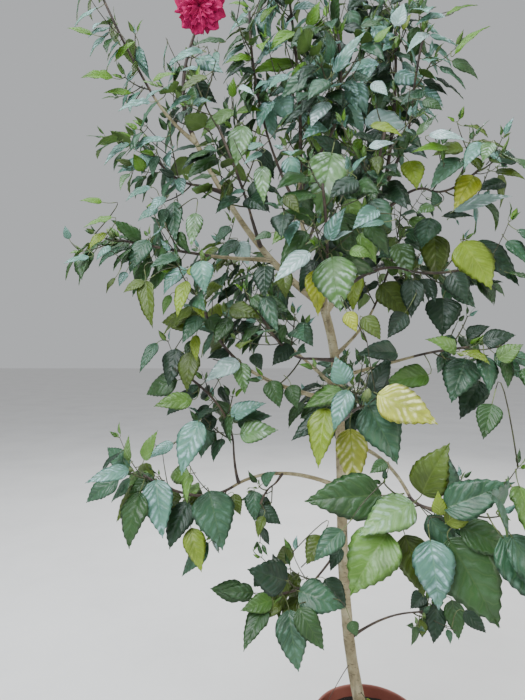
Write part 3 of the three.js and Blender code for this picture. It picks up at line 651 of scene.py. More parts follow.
# The other materials: three tones, roughness, the scale of their tones, the scale and height of their
# relief. Old bark is also stretched and has specks: scale, stretch, the range they fade in over, colour.
PLAIN_MATERIALS = {
    # The underside is paler than the upper face: partly its own colour, partly painted light shining through
    # the blade.
    "leaf_under": (((0.07, 0.13, 0.028), (0.1, 0.18, 0.036), (0.14, 0.24, 0.05)), 0.55, 20, 300, 0.0006),
    "old_bark": (
        ((0.17, 0.135, 0.075), (0.32, 0.27, 0.155), (0.47, 0.42, 0.28)), 0.75, 30, 420, 0.0014, (1, 1, 0.8),
        (
            (110, (1, 1, 3.2), 0.58, 0.66, (0.09, 0.065, 0.035)),
            (60, (1, 1, 0.3), 0.56, 0.7, (0.2, 0.17, 0.1)),
        ),
    ),
    "young_bark": (((0.025, 0.017, 0.016), (0.06, 0.04, 0.032), (0.13, 0.095, 0.06)), 0.62, 60, 500, 0.0008),
    "green_bark": (((0.025, 0.02, 0.014), (0.05, 0.048, 0.022), (0.1, 0.115, 0.042)), 0.5, 70, 500, 0.0006),
    "stalk_green": (((0.06, 0.05, 0.03), (0.12, 0.15, 0.05), (0.2, 0.25, 0.09)), 0.5, 60, 400, 0.0004),
    "pot_plastic": (((0.2, 0.062, 0.045), (0.27, 0.083, 0.06), (0.33, 0.115, 0.085)), 0.5, 9, 700, 0.0003),
    "soil_dark": (((0.008, 0.007, 0.007), (0.018, 0.015, 0.014), (0.04, 0.033, 0.028)), 0.95, 90, 900, 0.002),
    "grain_pale": (((0.2, 0.18, 0.15), (0.36, 0.33, 0.29), (0.5, 0.47, 0.43)), 0.8, 200, 900, 0.0004),
    "bud_green": (((0.1, 0.15, 0.05), (0.18, 0.25, 0.08), (0.3, 0.36, 0.14)), 0.5, 60, 500, 0.0005),
    "calyx_green": (((0.05, 0.1, 0.035), (0.09, 0.16, 0.05), (0.14, 0.22, 0.08)), 0.55, 60, 500, 0.0005),
    "floor_pale": (((0.76, 0.75, 0.74), (0.8, 0.79, 0.78), (0.83, 0.82, 0.81)), 0.9, 2, 60, 0.0003),
}

# Floor and lights, in metres: each light's name, place, size, power and colour.
FLOOR_HALF = 30
SKY_COLOUR = (0.84, 0.86, 0.88, 1)
SKY_STRENGTH = 0.6
CROWN_CENTRE = (-0.15, -0.05, 1.25)
LIGHTS = (
    ("sky", (-1.0, -0.8, 4.4), 3.4, 150, (0.82, 0.92, 1.0)),
    ("key", (-2.4, -2.6, 3.6), 2.4, 165, (0.93, 0.97, 1.0)),
    ("fill", (2.8, -2.0, 2.0), 2.2, 45, (1.0, 0.95, 0.88)),
    ("back", (0.8, 2.8, 3.2), 2.4, 90, (1.0, 0.98, 0.94)),
)


def vector(values):
    return np.array(values, float)


def unit(v):
    return v / np.linalg.norm(v)


def lerp(a, b, t):
    return a * (1 - t) + b * t


def between(limits, draw):
    """A drawn number between two limits."""
    low, high = limits
    return low + (high - low) * draw()


def least_along(way):
    """The axis that a way runs least along."""
    return np.eye(3)[int(np.argmin(np.abs(way)))]


class TrunkLine:
    """The trunk's centre line, from the soil to the fork."""

    def __init__(self):
        self.reference = vector((0, 1, 0))
        self.length = TRUNK_HEIGHT

    def at(self, along):
        lean = TRUNK_LEAN * (1 - (1 - along) ** TRUNK_LEAN_POWER)
        knee = TRUNK_KNEE * along**TRUNK_KNEE_POWER
        sunk = TRUNK_SUNK * (1 - along)
        return vector((-lean - knee, 0, SOIL_TOP - sunk + TRUNK_HEIGHT * along))

    def heading(self, along):
        lean = TRUNK_LEAN * TRUNK_LEAN_POWER * (1 - along) ** (TRUNK_LEAN_POWER - 1)
        knee = TRUNK_KNEE * TRUNK_KNEE_POWER * along ** (TRUNK_KNEE_POWER - 1)
        return unit(vector((-lean - knee, 0, TRUNK_HEIGHT)))


class Bend:
    """A limb's centre line: one bend from its start to its tip."""

    def __init__(self, start, pull, tip):
        self.start, self.pull, self.tip = start, pull, tip
        self.reference = least_along(tip - start)
        self.length = float(np.linalg.norm(tip - start))

    def at(self, along):
        rest = 1 - along
        return rest * rest * self.start + 2 * rest * along * self.pull + along * along * self.tip

    def heading(self, along):
        return unit((self.pull - self.start) * (1 - along) + (self.tip - self.pull) * along)


def square_to(line, along):
    heading = line.heading(along)
    side = unit(np.cross(heading, line.reference))
    return heading, side, np.cross(heading, side)


class Limb:
    """A centre line with its radii and the points that stand for it in a search."""

    def __init__(self, line, foot_radius, tip_radius, steps=1):
        self.line, self.steps = line, steps
        self.foot_radius, self.tip_radius = foot_radius, tip_radius
        self.points = np.array([line.at(step / steps) for step in range(steps + 1)])

    def root(self, along):
        step = min(int(along * self.steps), self.steps - 1)
        return lerp(self.points[step], self.points[step + 1], along * self.steps - step)

    def radius(self, along):
        return lerp(self.foot_radius, self.tip_radius, along)


class Mass:
    """A bough and the twigs and leaves at its tip."""

    def __init__(self, row, index, limbs):
        self.name, self.on, self.start_along, self.girth, via, tip, end, self.reach, self.leaf = row
        start, tip = limbs[self.on].line.at(self.start_along), vector(tip)
        line = Bend(start, 2 * vector(via) - (start + tip) / 2, tip)
        tip_radius = self.girth * BOUGH_TIP_SHARE
        self.bough = Limb(line, self.girth, tip_radius, BOUGH_STEPS)
        heading = line.heading(1)
        foot = line.at(1) + heading * GAP
        end = vector(end)
        pull = foot + heading * STEM_PULL * np.linalg.norm(end - foot)
        self.stem = Limb(Bend(foot, pull, end), tip_radius, STEM_TIP_RADIUS, STEM_STEPS)
        self.node = "leaves_" + self.name
        self.random = seeded(index + 1)
        self.index = index
        self.fine_share = FINE_SHARE.get(self.name, 1)
        self.leaves = []
        self.shoots = []


def seeded(seed):
    """Numbers from 0 to 1 that are the same in every run, and the same as the solids'."""
    size = 2**32
    state = (seed * 2654435761) % size

    def draw():
        nonlocal state
        state = (state * 1664525 + 1013904223) % size
        return state / size

    draw()
    return draw


def distances(points, starts, ends):
    """The distance of every point to every segment."""
    span = ends - starts
    to = points[:, None] - starts[None]
    share = np.clip((to * span).sum(-1) / (span * span).sum(-1), 0, 1)
    return np.linalg.norm(to - share[..., None] * span, axis=-1)


def steps_of(limbs):
    """The start and the end of every step of some limbs."""
    starts = np.concatenate([limb.points[:-1] for limb in limbs])
    return starts, np.concatenate([limb.points[1:] for limb in limbs])


trunk = Limb(TrunkLine(), TRUNK_FOOT_RADIUS, TRUNK_FORK_RADIUS, TRUNK_STEPS)
limbs = {"trunk": trunk}
masses = []
for index, row in enumerate(BRANCHES):
    mass = Mass(row, index, limbs)
    limbs[mass.name] = mass.bough
    masses.append(mass)

TRUNK_AXIS = trunk.line.at(CROWN_AXIS_ALONG)
STEM_SPANS = steps_of([mass.stem for mass in masses])
LIMB_SPANS = steps_of(limbs.values())
THICKEST = [limb.foot_radius + (ROOT_FLARE if limb is trunk else 0) for limb in limbs.values()]
LIMB_RADII = np.repeat(THICKEST, [limb.steps for limb in limbs.values()])
BLOOM_MASS = next(mass for mass in masses if mass.name == "upper_left")
BLOOM_WAY = unit(vector(BLOOM_FACING))
BLOOM_TIP = BLOOM_MASS.stem.line.at(1)
BLOOM_FREE = BLOOM_TIP + BLOOM_WAY * BLOOM_FREE_AHEAD


def fits(points, mass, margin, clearance):
    """True where every point is in the mass's own space and clear of every limb and the bloom."""
    if (points[:, 2] < POT_HEIGHT + LIMB_CLEARANCE).any():
        return False
    if (np.linalg.norm(points - BLOOM_FREE, axis=1) < BLOOM_FREE_RADIUS).any():
        return False
    near = distances(points, *STEM_SPANS)
    near = near.reshape(len(points), len(masses), STEM_STEPS).min(-1)
    own = near[:, mass.index].copy()
    near[:, mass.index] = np.inf
    if (near < own[:, None] + margin).any():
        return False
    return not (distances(points, *LIMB_SPANS) < LIMB_RADII + clearance).any()


class Leaf:
    """Where a leaf stands: its foot on a twig, the way it points and faces, and its length."""

    half = None

    def __init__(self, foot, square, turn, length, droop, roll):
        self.heading, side, other = square
        out = side * math.cos(turn) + other * math.sin(turn)
        away = unit(vector((foot[0] - TRUNK_AXIS[0], foot[1] - TRUNK_AXIS[1], 0)))
        along = out + self.heading * LEAF_FORWARD + away * LEAF_OUTWARD
        along[2] -= droop
        self.along = unit(along)
        face = SUN + away * FACE_OUTWARD + side * roll
        self.across = unit(np.cross(face, self.along))
        self.normal = np.cross(self.along, self.across)
        self.foot = foot - self.along * STALK_SUNK
        self.length = length
        share = STALK_SHARE / (1 + STALK_SHARE)
        self.base = self.foot + self.along * share * length
        self.size = (1 - share) * length
        reach = self.along * BLADE_POINTS[:, :1] * length
        aside = self.across * BLADE_POINTS[:, 1:] * LEAF_HALF_WIDTH * length
        self.points = self.foot + reach + aside


def apart(leaf, mass, clearance, twig_clearance):
    """True where a leaf is clear of its mass's other leaves and twigs."""
    if mass.leaves:
        others = np.concatenate([other.points for other in mass.leaves])
        between_them = np.linalg.norm(leaf.points[:, None] - others[None], axis=-1)
        if (between_them < clearance * leaf.length).any():
            return False
    return not (distances(leaf.points, *steps_of(mass.twigs)) < twig_clearance).any()


def branch_off(mass, carrier, along, turn, lean, longest, kind):
    """A twig or shoot that curves upwards, at the longest of a few lengths with room, or None."""
    lift, shares, margin, clearance, foot_radius, tip_radius = kind
    heading, side, other = square_to(carrier.line, along)
    out = side * math.cos(turn) + other * math.sin(turn)
    way = out * math.sin(lean) + heading * math.cos(lean)
    lifted = unit(way + vector((0, 0, lift)))
    foot = carrier.root(along)
    for share in shares:
        length = share * longest
        line = Bend(foot, foot + way * TWIG_PULL * length, foot + lifted * length)
        if fits(np.array([line.at(t) for t in TWIG_TESTED_AT]), mass, margin, clearance):
            return Limb(line, foot_radius, tip_radius)
    return None


def grow_twigs(mass):
    """Twigs stand out round the stem."""
    draw = mass.random
    stem = mass.stem
    mass.twigs = [stem]
    count = max(TWIGS_LEAST, int(stem.line.length / TWIG_SPACING + 0.5))
    for k in range(count):
        along = TWIG_FIRST + (TWIG_LAST - TWIG_FIRST) * k / (count - 1)
        turn = k * TURN + (draw() - 0.5) * TURN_JITTER
        lean = lerp(TWIG_ANGLE_FOOT, TWIG_ANGLE_TIP, along)
        longest = mass.reach * lerp(TWIG_SHORTEST, 1, draw()) * (1 - TWIG_SHORTENING * along)
        twig = branch_off(mass, stem, along, turn, lean, longest, TWIG_KIND)
        if twig:
            mass.twigs.append(twig)


def grow_shoots(mass, carrier):
    """Thin side shoots stand out round a twig."""
    draw = mass.random
    count = max(1, int(mass.fine_share * carrier.line.length / SHOOT_SPACING + 0.5))
    for k in range(count):
        along = SHOOT_FIRST + (SHOOT_LAST - SHOOT_FIRST) * (k + draw()) / count
        turn = draw() * 2 * math.pi
        longest = between(SHOOT_LENGTHS, draw)
        shoot = branch_off(mass, carrier, along, turn, SHOOT_LEAN, longest, SHOOT_KIND)
        if shoot:
            shoot.carrier = carrier
            mass.shoots.append(shoot)


def grow_leaves(mass, twig, first, fine):
    """Leaves along one twig, each at the first of a few turns where it has room."""
    draw = mass.random
    spacing, least, more, droop_more = FINE_SIZES if fine else RULE_SIZES
    clearance, twig_clearance, margin, limb_clearance = FINE_ROOM if fine else RULE_ROOM
    span = LEAF_LAST - first
    count = max(2, int(twig.line.length * span / spacing + 0.5) + 1)
    start = draw() * 2 * math.pi
    for k in range(count):
        if fine and draw() > mass.fine_share:
            continue
        along = first + span * k / (count - 1)
        turn = start + k * TURN + (draw() - 0.5) * TURN_JITTER
        droop = LEAF_DROOP_LEAST + LEAF_DROOP_MORE * draw() + droop_more
        size = least + more * draw()
        roll = (draw() - 0.5) * LEAF_ROLL
        length = mass.leaf * size * (1 + STALK_SHARE)
        foot = twig.root(along)
        square = square_to(twig.line, along)
        for attempt in range(LEAF_TRIES):
            hang = droop + LEAF_DROOPS_TRIED[attempt % len(LEAF_DROOPS_TRIED)]
            leaf = Leaf(foot, square, turn + attempt * TURN, length, hang, roll)
            if abs(leaf.along @ leaf.heading) > LEAF_HUG and k < count - 1:
                continue
            if not fits(leaf.points, mass, margin, limb_clearance):
                continue
            if apart(leaf, mass, clearance, twig_clearance):
                leaf.fine, leaf.twig = fine, twig
                mass.leaves.append(leaf)
                break


for mass in masses:
    grow_twigs(mass)
    for twig in mass.twigs:
        first = LEAF_FIRST_ON_STEM if twig is mass.stem else LEAF_FIRST_ON_TWIG
        grow_leaves(mass, twig, first, False)
    for twig in mass.twigs:
        grow_shoots(mass, twig)
    mass.twigs += mass.shoots
    for twig in mass.twigs:
        grow_leaves(mass, twig, LEAF_FIRST_ON_SHOOT, True)


CAMERA = vector(CAMERA_PLACE) / MM


def picture_point(place, depth):
    """The point that the camera sees at a pixel, at a distance in front of it."""
    right, down = (place - (PICTURE_WIDTH / 2, PICTURE_HEIGHT / 2)) * depth / PICTURE_WIDTH
    return CAMERA + vector((right, depth, -down))


def in_picture(points):
    """The pixels where points are seen, and how far in front of the camera they are."""
    depth = points[:, 1] - CAMERA[1]
    x = PICTURE_WIDTH / 2 + (points[:, 0] - CAMERA[0]) * PICTURE_WIDTH / depth
    y = PICTURE_HEIGHT / 2 - (points[:, 2] - CAMERA[2]) * PICTURE_WIDTH / depth
    return np.stack([x, y], 1), depth


class SeenLeaf:
    """A leaf that the photograph shows plainly: it stands on the twig that is nearest there."""

    def __init__(self, row, tint, roll, ahead):
        *ends, self.half = row
        self.ends = foot, tip = vector(ends).reshape(2, 2)
        off = np.linalg.norm(carrier_places - foot, axis=1) * carrier_depths / PICTURE_WIDTH
        best = int(np.argmin(off + SEEN_DEPTH_COST * carrier_depths))
        self.mass, self.twig, self.foot = carriers[best]
        depth = carrier_depths[best] - SEEN_FORWARD[tint] - ahead
        self.base = picture_point(foot, depth)
        across_picture = np.linalg.norm(picture_point(tip, depth) - self.base)
        span = picture_point(tip, depth - SEEN_TIP_FORWARD * across_picture) - self.base
        self.size = float(np.linalg.norm(span))
        self.along = span / self.size
        self.across = unit(np.cross(SEEN_FACE + vector((roll, 0, 0)), self.along))
        self.normal = np.cross(self.along, self.across)
        self.tint = tint
        self.reach = float(np.linalg.norm(self.base - self.foot))
        aside = self.across * BLADE_POINTS[:, 1:] * self.half * self.size
        self.points = self.base + self.along * BLADE_POINTS[:, :1] * self.size + aside

    def hidden_by(self, places, depths, points):
        """True where another leaf stands in front of this one or runs through it."""
        foot, tip = self.ends
        axis = tip - foot
        length = np.linalg.norm(axis)
        share = (places - foot) @ axis / length**2
        aside = np.abs(np.cross(axis, places - foot)) / length**2
        width = np.interp(share, OUTLINE_ALONG, OUTLINE_WIDTH) * self.half
        inside = (share > 0) & (share < 1) & (aside < width)
        own_depth = self.base[1] - CAMERA[1]
        if (inside & (depths < own_depth + SEEN_CLEARANCE)).sum() > 1:
            return True
        return nearest(points, self.points) < SEEN_CLEARANCE


def nearest(points, others):
    return np.linalg.norm(points[:, None] - others[None], axis=-1).min()


def place_seen_leaf(row, tint, roll):
    """A seen leaf, moved towards the camera until it is clear of those placed before."""
    for step in range(SEEN_STEPS_TRIED):
        leaf = SeenLeaf(row, tint, roll, step * SEEN_STEP)
        if all(nearest(leaf.points, other.points) > SEEN_CLEARANCE for other in seen_leaves):
            break
    return leaf


carriers = [
    (mass, twig, twig.root(along))
    for mass in masses
    for twig in mass.twigs
    for along in np.linspace(CARRIER_FIRST, 1, CARRIERS_OF_A_TWIG)
]
carrier_places, carrier_depths = in_picture(np.array([point for _, _, point in carriers]))
sight = seeded(SIGHT_SEED)
seen_leaves = []
for tint, rows in SEEN_LEAVES.items():
    for row in rows:
        leaf = place_seen_leaf(row, tint, (sight() - 0.5) * SEEN_ROLL)
        if leaf.reach < SEEN_LONGEST_SHOOT:
            seen_leaves.append(leaf)

bloom_back = BLOOM_TIP + BLOOM_WAY * BLOOM_AHEAD + vector((0, 0, BLOOM_LIFT))
bloom_place, bloom_depth = in_picture((bloom_back + BLOOM_WAY * BLOOM_AHEAD)[None])


def in_the_way(points):
    """True for a leaf that hides the bloom or a seen leaf, or stands far out of the solids' box.

    The leaves that reach furthest stay, so the dressed plant reaches as far as the solids."""
    low, high = np.array(cad_bounds) / MM
    if (points < low - PROUD_OF_BOX).any() or (points > high + PROUD_OF_BOX).any():
        return True
    if (points < low + FURTHEST).any() or (points > high - FURTHEST).any():
        return False
    places, depths = in_picture(points)
    over_bloom = (np.linalg.norm(places - bloom_place, axis=1) < BLOOM_CLEAR).any()
    if over_bloom and depths.min() < bloom_depth[0] + BLOOM_BEHIND:
        return True
    return any(seen.hidden_by(places, depths, points) for seen in seen_leaves)


for mass in masses:
    mass.leaves = [leaf for leaf in mass.leaves if not in_the_way(leaf.points)]
    carrying = {id(leaf.twig) for leaf in mass.leaves + seen_leaves}
    carrying |= {id(shoot.carrier) for shoot in mass.shoots if id(shoot) in carrying}
    mass.twigs = [twig for twig in mass.twigs if twig is mass.stem or id(twig) in carrying]


class Joined:
    """Points and faces of many shapes, gathered to be one mesh."""

    def __init__(self):
        self.points, self.faces, self.marks, self.uvs = [], [], [], []
        self.count = 0

    def add(self, points, face_sets, mark=0, uv=None):
        """Points and their faces, in one array for each number of corners."""
        for faces in face_sets:
            self.faces.append(faces + self.count)
            self.marks.append(np.broadcast_to(mark, len(faces)))
        self.points.append(points)
        self.uvs.append(np.zeros((len(points), 2)) if uv is None else uv)
        self.count += len(points)

    def triangles(self):
        return sum(len(faces) * (faces.shape[1] - 2) for faces in self.faces)

    def piece(self, name, materials, slot, replaced):
        corners = np.concatenate([faces.ravel() for faces in self.faces])
        totals = np.concatenate([np.full(len(faces), faces.shape[1]) for faces in self.faces])
        mesh = bpy.data.meshes.new(name)
        mesh.vertices.add(self.count)
        mesh.vertices.foreach_set("co", np.concatenate(self.points).ravel() * MM)
        mesh.loops.add(len(corners))
        mesh.loops.foreach_set("vertex_index", corners)
        mesh.polygons.add(len(totals))
        mesh.polygons.foreach_set("loop_start", np.concatenate(([0], np.cumsum(totals)[:-1])))
        mesh.polygons.foreach_set("loop_total", totals)
        mesh.polygons.foreach_set("material_index", np.concatenate(self.marks))
        mesh.polygons.foreach_set("use_smooth", np.ones(len(totals), bool))
        layer = mesh.uv_layers.new(name="lines")
        layer.data.foreach_set("uv", np.concatenate(self.uvs)[corners].ravel())
        for material in materials:
            mesh.materials.append(material)
        mesh.update(calc_edges=True)
        mesh.validate()
        piece = bpy.data.objects.new(name, mesh)
        bpy.context.scene.collection.objects.link(piece)
        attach(piece, "root")
        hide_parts(*replaced)


def ring_angles(sides):
    return np.arange(sides) * 2 * math.pi / sides


def body_of_rings(joined, rings, ends, mark=0):
    """A closed body through rings of points, with a fan of faces to a point at either end."""
    count, sides = rings.shape[:2]
    lower = np.arange((count - 1) * sides).reshape(-1, sides)
    after = np.roll(lower, -1, axis=1)
    walls = np.stack([lower, after, after + sides, lower + sides], -1).reshape(-1, 4)
    side = np.arange(sides)
    after = np.roll(side, -1)
    last, centre = (count - 1) * sides, np.full(sides, count * sides)
    low = np.stack([after, side, centre], 1)
    high = np.stack([last + side, last + after, centre + 1], 1)
    points = np.concatenate([rings.reshape(-1, 3), ends])
    joined.add(points, (walls, np.concatenate([low, high])), mark)


def tube(joined, centres, headings, reference, radii, sides, mark=0):
    """A closed tube through the centres, each ring square to its heading."""
    side = np.cross(headings, reference)
    side /= np.linalg.norm(side, axis=1, keepdims=True)
    other = np.cross(headings, side)
    angles = ring_angles(sides)[:, None]
    outward = side[:, None] * np.cos(angles) + other[:, None] * np.sin(angles)
    rings = centres[:, None] + outward * np.reshape(radii, (len(centres), -1, 1))
    body_of_rings(joined, rings, (centres[0], centres[-1]), mark)


def tube_along(joined, limb, mesh, mark=0, start=0.0, swell=None):
    """A limb's tube, its mesh given as sides and steps; swell shapes its radii."""
    sides, steps = mesh
    along = np.linspace(start, 1, steps + 1)
    centres = np.array([limb.line.at(a) for a in along])
    headings = np.array([limb.line.heading(a) for a in along])
    radii = limb.radius(along)[:, None]
    if swell is not None:
        radii = swell(along[:, None], radii)
    tube(joined, centres, headings, limb.line.reference, radii, sides, mark)


def turned_body(joined, centre, axis, profile, sides):
    """A profile of radii and heights turned round an axis, closed at both ends."""
    radii, heights = np.array(profile).T
    centres = centre + axis * heights[:, None]
    tube(joined, centres, np.tile(axis, (len(profile), 1)), least_along(axis), radii, sides)


def sheet_body(joined, grid, thickness, mark=0, uv=None):
    """A grid of points made into a thin closed body."""
    rows, columns = grid.shape[:2]
    normal = np.cross(np.gradient(grid, axis=0), np.gradient(grid, axis=1))
    normal /= np.linalg.norm(normal, axis=2, keepdims=True) + 1e-12
    other = grid - normal * thickness
    number = np.arange(rows * columns).reshape(rows, columns)
    a, b, c, d = number[:-1, :-1], number[:-1, 1:], number[1:, 1:], number[1:, :-1]
    top = np.stack([a, d, c, b], -1).reshape(-1, 4)
    bottom = top[:, ::-1] + rows * columns
    rim = np.concatenate([number[0, :-1], number[:-1, -1], number[-1, :0:-1], number[:0:-1, 0]])
    after = np.roll(rim, -1)
    sides = np.stack([rim, after, after + rows * columns, rim + rows * columns], 1)
    points = np.concatenate([grid.reshape(-1, 3), other.reshape(-1, 3)])
    both = None if uv is None else np.concatenate([uv.reshape(-1, 2)] * 2)
    joined.add(points, (top, bottom, sides), mark, both)


# Materials, all from nodes.
def new_material(name, colour, roughness, specular=0.5):
    material = bpy.data.materials.new(name)
    material.use_nodes = True
    shader = material.node_tree.nodes["Principled BSDF"]
    shader.inputs["Base Color"].default_value = (*colour, 1)
    shader.inputs["Roughness"].default_value = roughness
    shader.inputs["Specular IOR Level"].default_value = specular
    return material


class Nodes:
    """Short calls to make and join shader nodes."""

    def __init__(self, material):
        self.tree = material.node_tree
        self.shader = self.tree.nodes["Principled BSDF"]

    def fill(self, node, inputs, output=0):
        """Joins or sets a node's inputs, and gives back its output."""
        for name, source in inputs.items():
            target = node.inputs[name]
            if isinstance(source, bpy.types.NodeSocket):
                self.tree.links.new(source, target)
            elif target.type == "RGBA":
                target.default_value = (*source, 1)
            else:
                target.default_value = source
        return node.outputs[output]

    def place(self, scale=(1, 1, 1)):
        """The point on the object, in metres, stretched by scale."""
        point = self.tree.nodes.new("ShaderNodeTexCoord").outputs["Object"]
        node = self.tree.nodes.new("ShaderNodeMapping")
        return self.fill(node, {"Vector": point, "Scale": scale})

    def lines(self):
        """How far along and how far across a blade or petal a point is."""
        uv = self.tree.nodes.new("ShaderNodeUVMap")
        uv.uv_map = "lines"
        split = self.tree.nodes.new("ShaderNodeSeparateXYZ")
        self.fill(split, {0: uv.outputs["UV"]})
        return split.outputs["X"], split.outputs["Y"]

    def math(self, operation, *values):
        node = self.tree.nodes.new("ShaderNodeMath")
        node.operation = operation
        return self.fill(node, dict(enumerate(values)))

    def noise(self, vector, scale, detail=3, roughness=0.5):
        inputs = {"Vector": vector, "Scale": scale, "Detail": detail, "Roughness": roughness}
        return self.fill(self.tree.nodes.new("ShaderNodeTexNoise"), inputs, "Fac")

    def to_edge(self, vector, scale):
        """The distance to the edge of the cell that a point is in."""
        node = self.tree.nodes.new("ShaderNodeTexVoronoi")
        node.feature = "DISTANCE_TO_EDGE"
        return self.fill(node, {"Vector": vector, "Scale": scale}, "Distance")

    def ramp(self, factor, stops):
        node = self.tree.nodes.new("ShaderNodeValToRGB")
        elements, stops = node.color_ramp.elements, list(stops)
        while len(elements) < len(stops):
            elements.new(0.5)
        for element, (position, colour) in zip(elements, stops):
            element.position = position
            element.color = (*colour, 1)
        return self.fill(node, {"Fac": factor}, "Color")

    def range(self, value, low, high, to_low=0.0, to_high=1.0):
        node = self.tree.nodes.new("ShaderNodeMapRange")
        node.interpolation_type = "SMOOTHSTEP"
        return self.fill(node, dict(enumerate((value, low, high, to_low, to_high))))

    def mix(self, factor, a, b):
        """One colour into another; counted from 0, they are the node's inputs 6 and 7."""
        node = self.tree.nodes.new("ShaderNodeMix")
        node.data_type = "RGBA"
        return self.fill(node, {0: factor, 6: a, 7: b}, 2)

    def bump(self, height, distance, strength):
        inputs = {"Height": height, "Distance": distance, "Strength": strength}
        return self.fill(self.tree.nodes.new("ShaderNodeBump"), inputs, "Normal")


def scaled(colour, share):
    return tuple(channel * share for channel in colour)


def leaf_material(name, blade, vein, painted_sheen, roughness):
    """A blade's upper face: veins run to the teeth; it swells between them, with painted sheen on the swells.
    """
    material = new_material(name, blade, roughness, LEAF_GLOSS)
    nodes = Nodes(material)
    along, across = nodes.lines()
    place = nodes.place()
    wander_scale, wander_reach, wander_start = VEIN_WANDER
    wander = nodes.noise(place, wander_scale, 2)
    wander = nodes.math("MULTIPLY_ADD", wander, wander_reach, wander_start)
    phase = nodes.math("FRACT", nodes.math("ADD", along, wander))
    to_vein = nodes.math("ABSOLUTE", nodes.math("SUBTRACT", phase, 0.5))
    side_vein = nodes.range(to_vein, *SIDE_VEIN)
    midrib = nodes.range(nodes.math("ABSOLUTE", across), *MIDRIB)
    veins = nodes.math("MAXIMUM", side_vein, midrib)
    bulged = nodes.range(to_vein, *BULGED)
    tones = (scaled(blade, LEAF_DARKER), blade, scaled(blade, LEAF_PALER))
    colour = nodes.ramp(nodes.noise(place, LEAF_TONE_SCALE, 4), zip(TONE_STOPS, tones))
    # Painted sheen: a paler, bluer colour on the swells, in broken patches, stands in for the sky's
    # reflection.
    patches = nodes.range(nodes.noise(place, PATCH_SCALE, 2), *PATCHES)
    broken = nodes.range(nodes.noise(place, BROKEN_SCALE), *BROKEN)
    sheen = nodes.math("MULTIPLY", nodes.math("MULTIPLY", bulged, patches), broken)
    colour = nodes.mix(sheen, colour, painted_sheen)
    colour = nodes.mix(nodes.range(nodes.to_edge(place, NET_SCALE), *NET), colour, vein)
    colour = nodes.mix(nodes.math("MULTIPLY", veins, VEIN_STRENGTH), colour, vein)
    swell = nodes.math("MULTIPLY", bulged, BULGE_HEIGHT)
    grain = nodes.math("MULTIPLY", nodes.noise(place, LEAF_GRAIN_SCALE), LEAF_GRAIN_HEIGHT)
    relief = nodes.bump(nodes.math("ADD", swell, grain), *LEAF_RELIEF)
    shine = (*SHINE, roughness - SHINE_LESS, roughness + SHINE_MORE)
    rough = nodes.range(nodes.noise(place, SHINE_SCALE, 2), *shine)
    nodes.fill(nodes.shader, {"Base Color": colour, "Roughness": rough, "Normal": relief})
    return material


def plain_material(
    name, colours, roughness, scale, bump_scale, bump_height, stretch=(1, 1, 1), specks=()
):
    """Three tones by noise, with a fine relief, and specks where they are given."""
    material = new_material(name, colours[1], roughness)
    nodes = Nodes(material)
    place = nodes.place(stretch)
    colour = nodes.ramp(nodes.noise(place, scale, *TONE_DETAIL), zip(TONE_STOPS, colours))
    for speck_scale, speck_stretch, low, high, speck_colour in specks:
        speck = nodes.noise(nodes.place(speck_stretch), speck_scale)
        colour = nodes.mix(nodes.range(speck, low, high, 0.0, SPECK_STRENGTH), colour, speck_colour)
    height = nodes.noise(place, bump_scale, *RELIEF_DETAIL)
    relief = nodes.bump(height, bump_height, RELIEF_STRENGTH)
    nodes.fill(nodes.shader, {"Base Color": colour, "Normal": relief})
    return material


def petal_material():
    """Petals that are darker towards their foot, with fine veins and paler patches of painted highlight."""
    material = new_material("petal_crimson", PETAL_COLOUR, PETAL_ROUGHNESS, PETAL_GLOSS)
    nodes = Nodes(material)
    along, across = nodes.lines()
    wave = nodes.math("SINE", nodes.math("MULTIPLY", across, PETAL_VEINS))
    colour = nodes.mix(nodes.range(wave, *PETAL_VEIN), nodes.ramp(along, PETAL_TONES), PETAL_VEIN_COLOUR)
    # Painted highlight: bright pink patches by noise stand in for light glancing off the petals.
    painted_highlight = nodes.range(nodes.noise(nodes.place(), PETAL_HIGHLIGHT_SCALE), *PETAL_HIGHLIGHT)
    colour = nodes.mix(painted_highlight, colour, PETAL_HIGHLIGHT_COLOUR)
    nodes.fill(nodes.shader, {"Base Color": colour, "Normal": nodes.bump(wave, *PETAL_RELIEF)})
    return material


plain = {name: plain_material(name, *row) for name, row in PLAIN_MATERIALS.items()}
leaf_materials = [leaf_material("leaf_" + name, *row) for name, row in TINTS.items()]
leaf_materials.append(plain["leaf_under"])
TINT_NAMES = tuple(TINTS)
UNDERSIDE = len(TINTS)


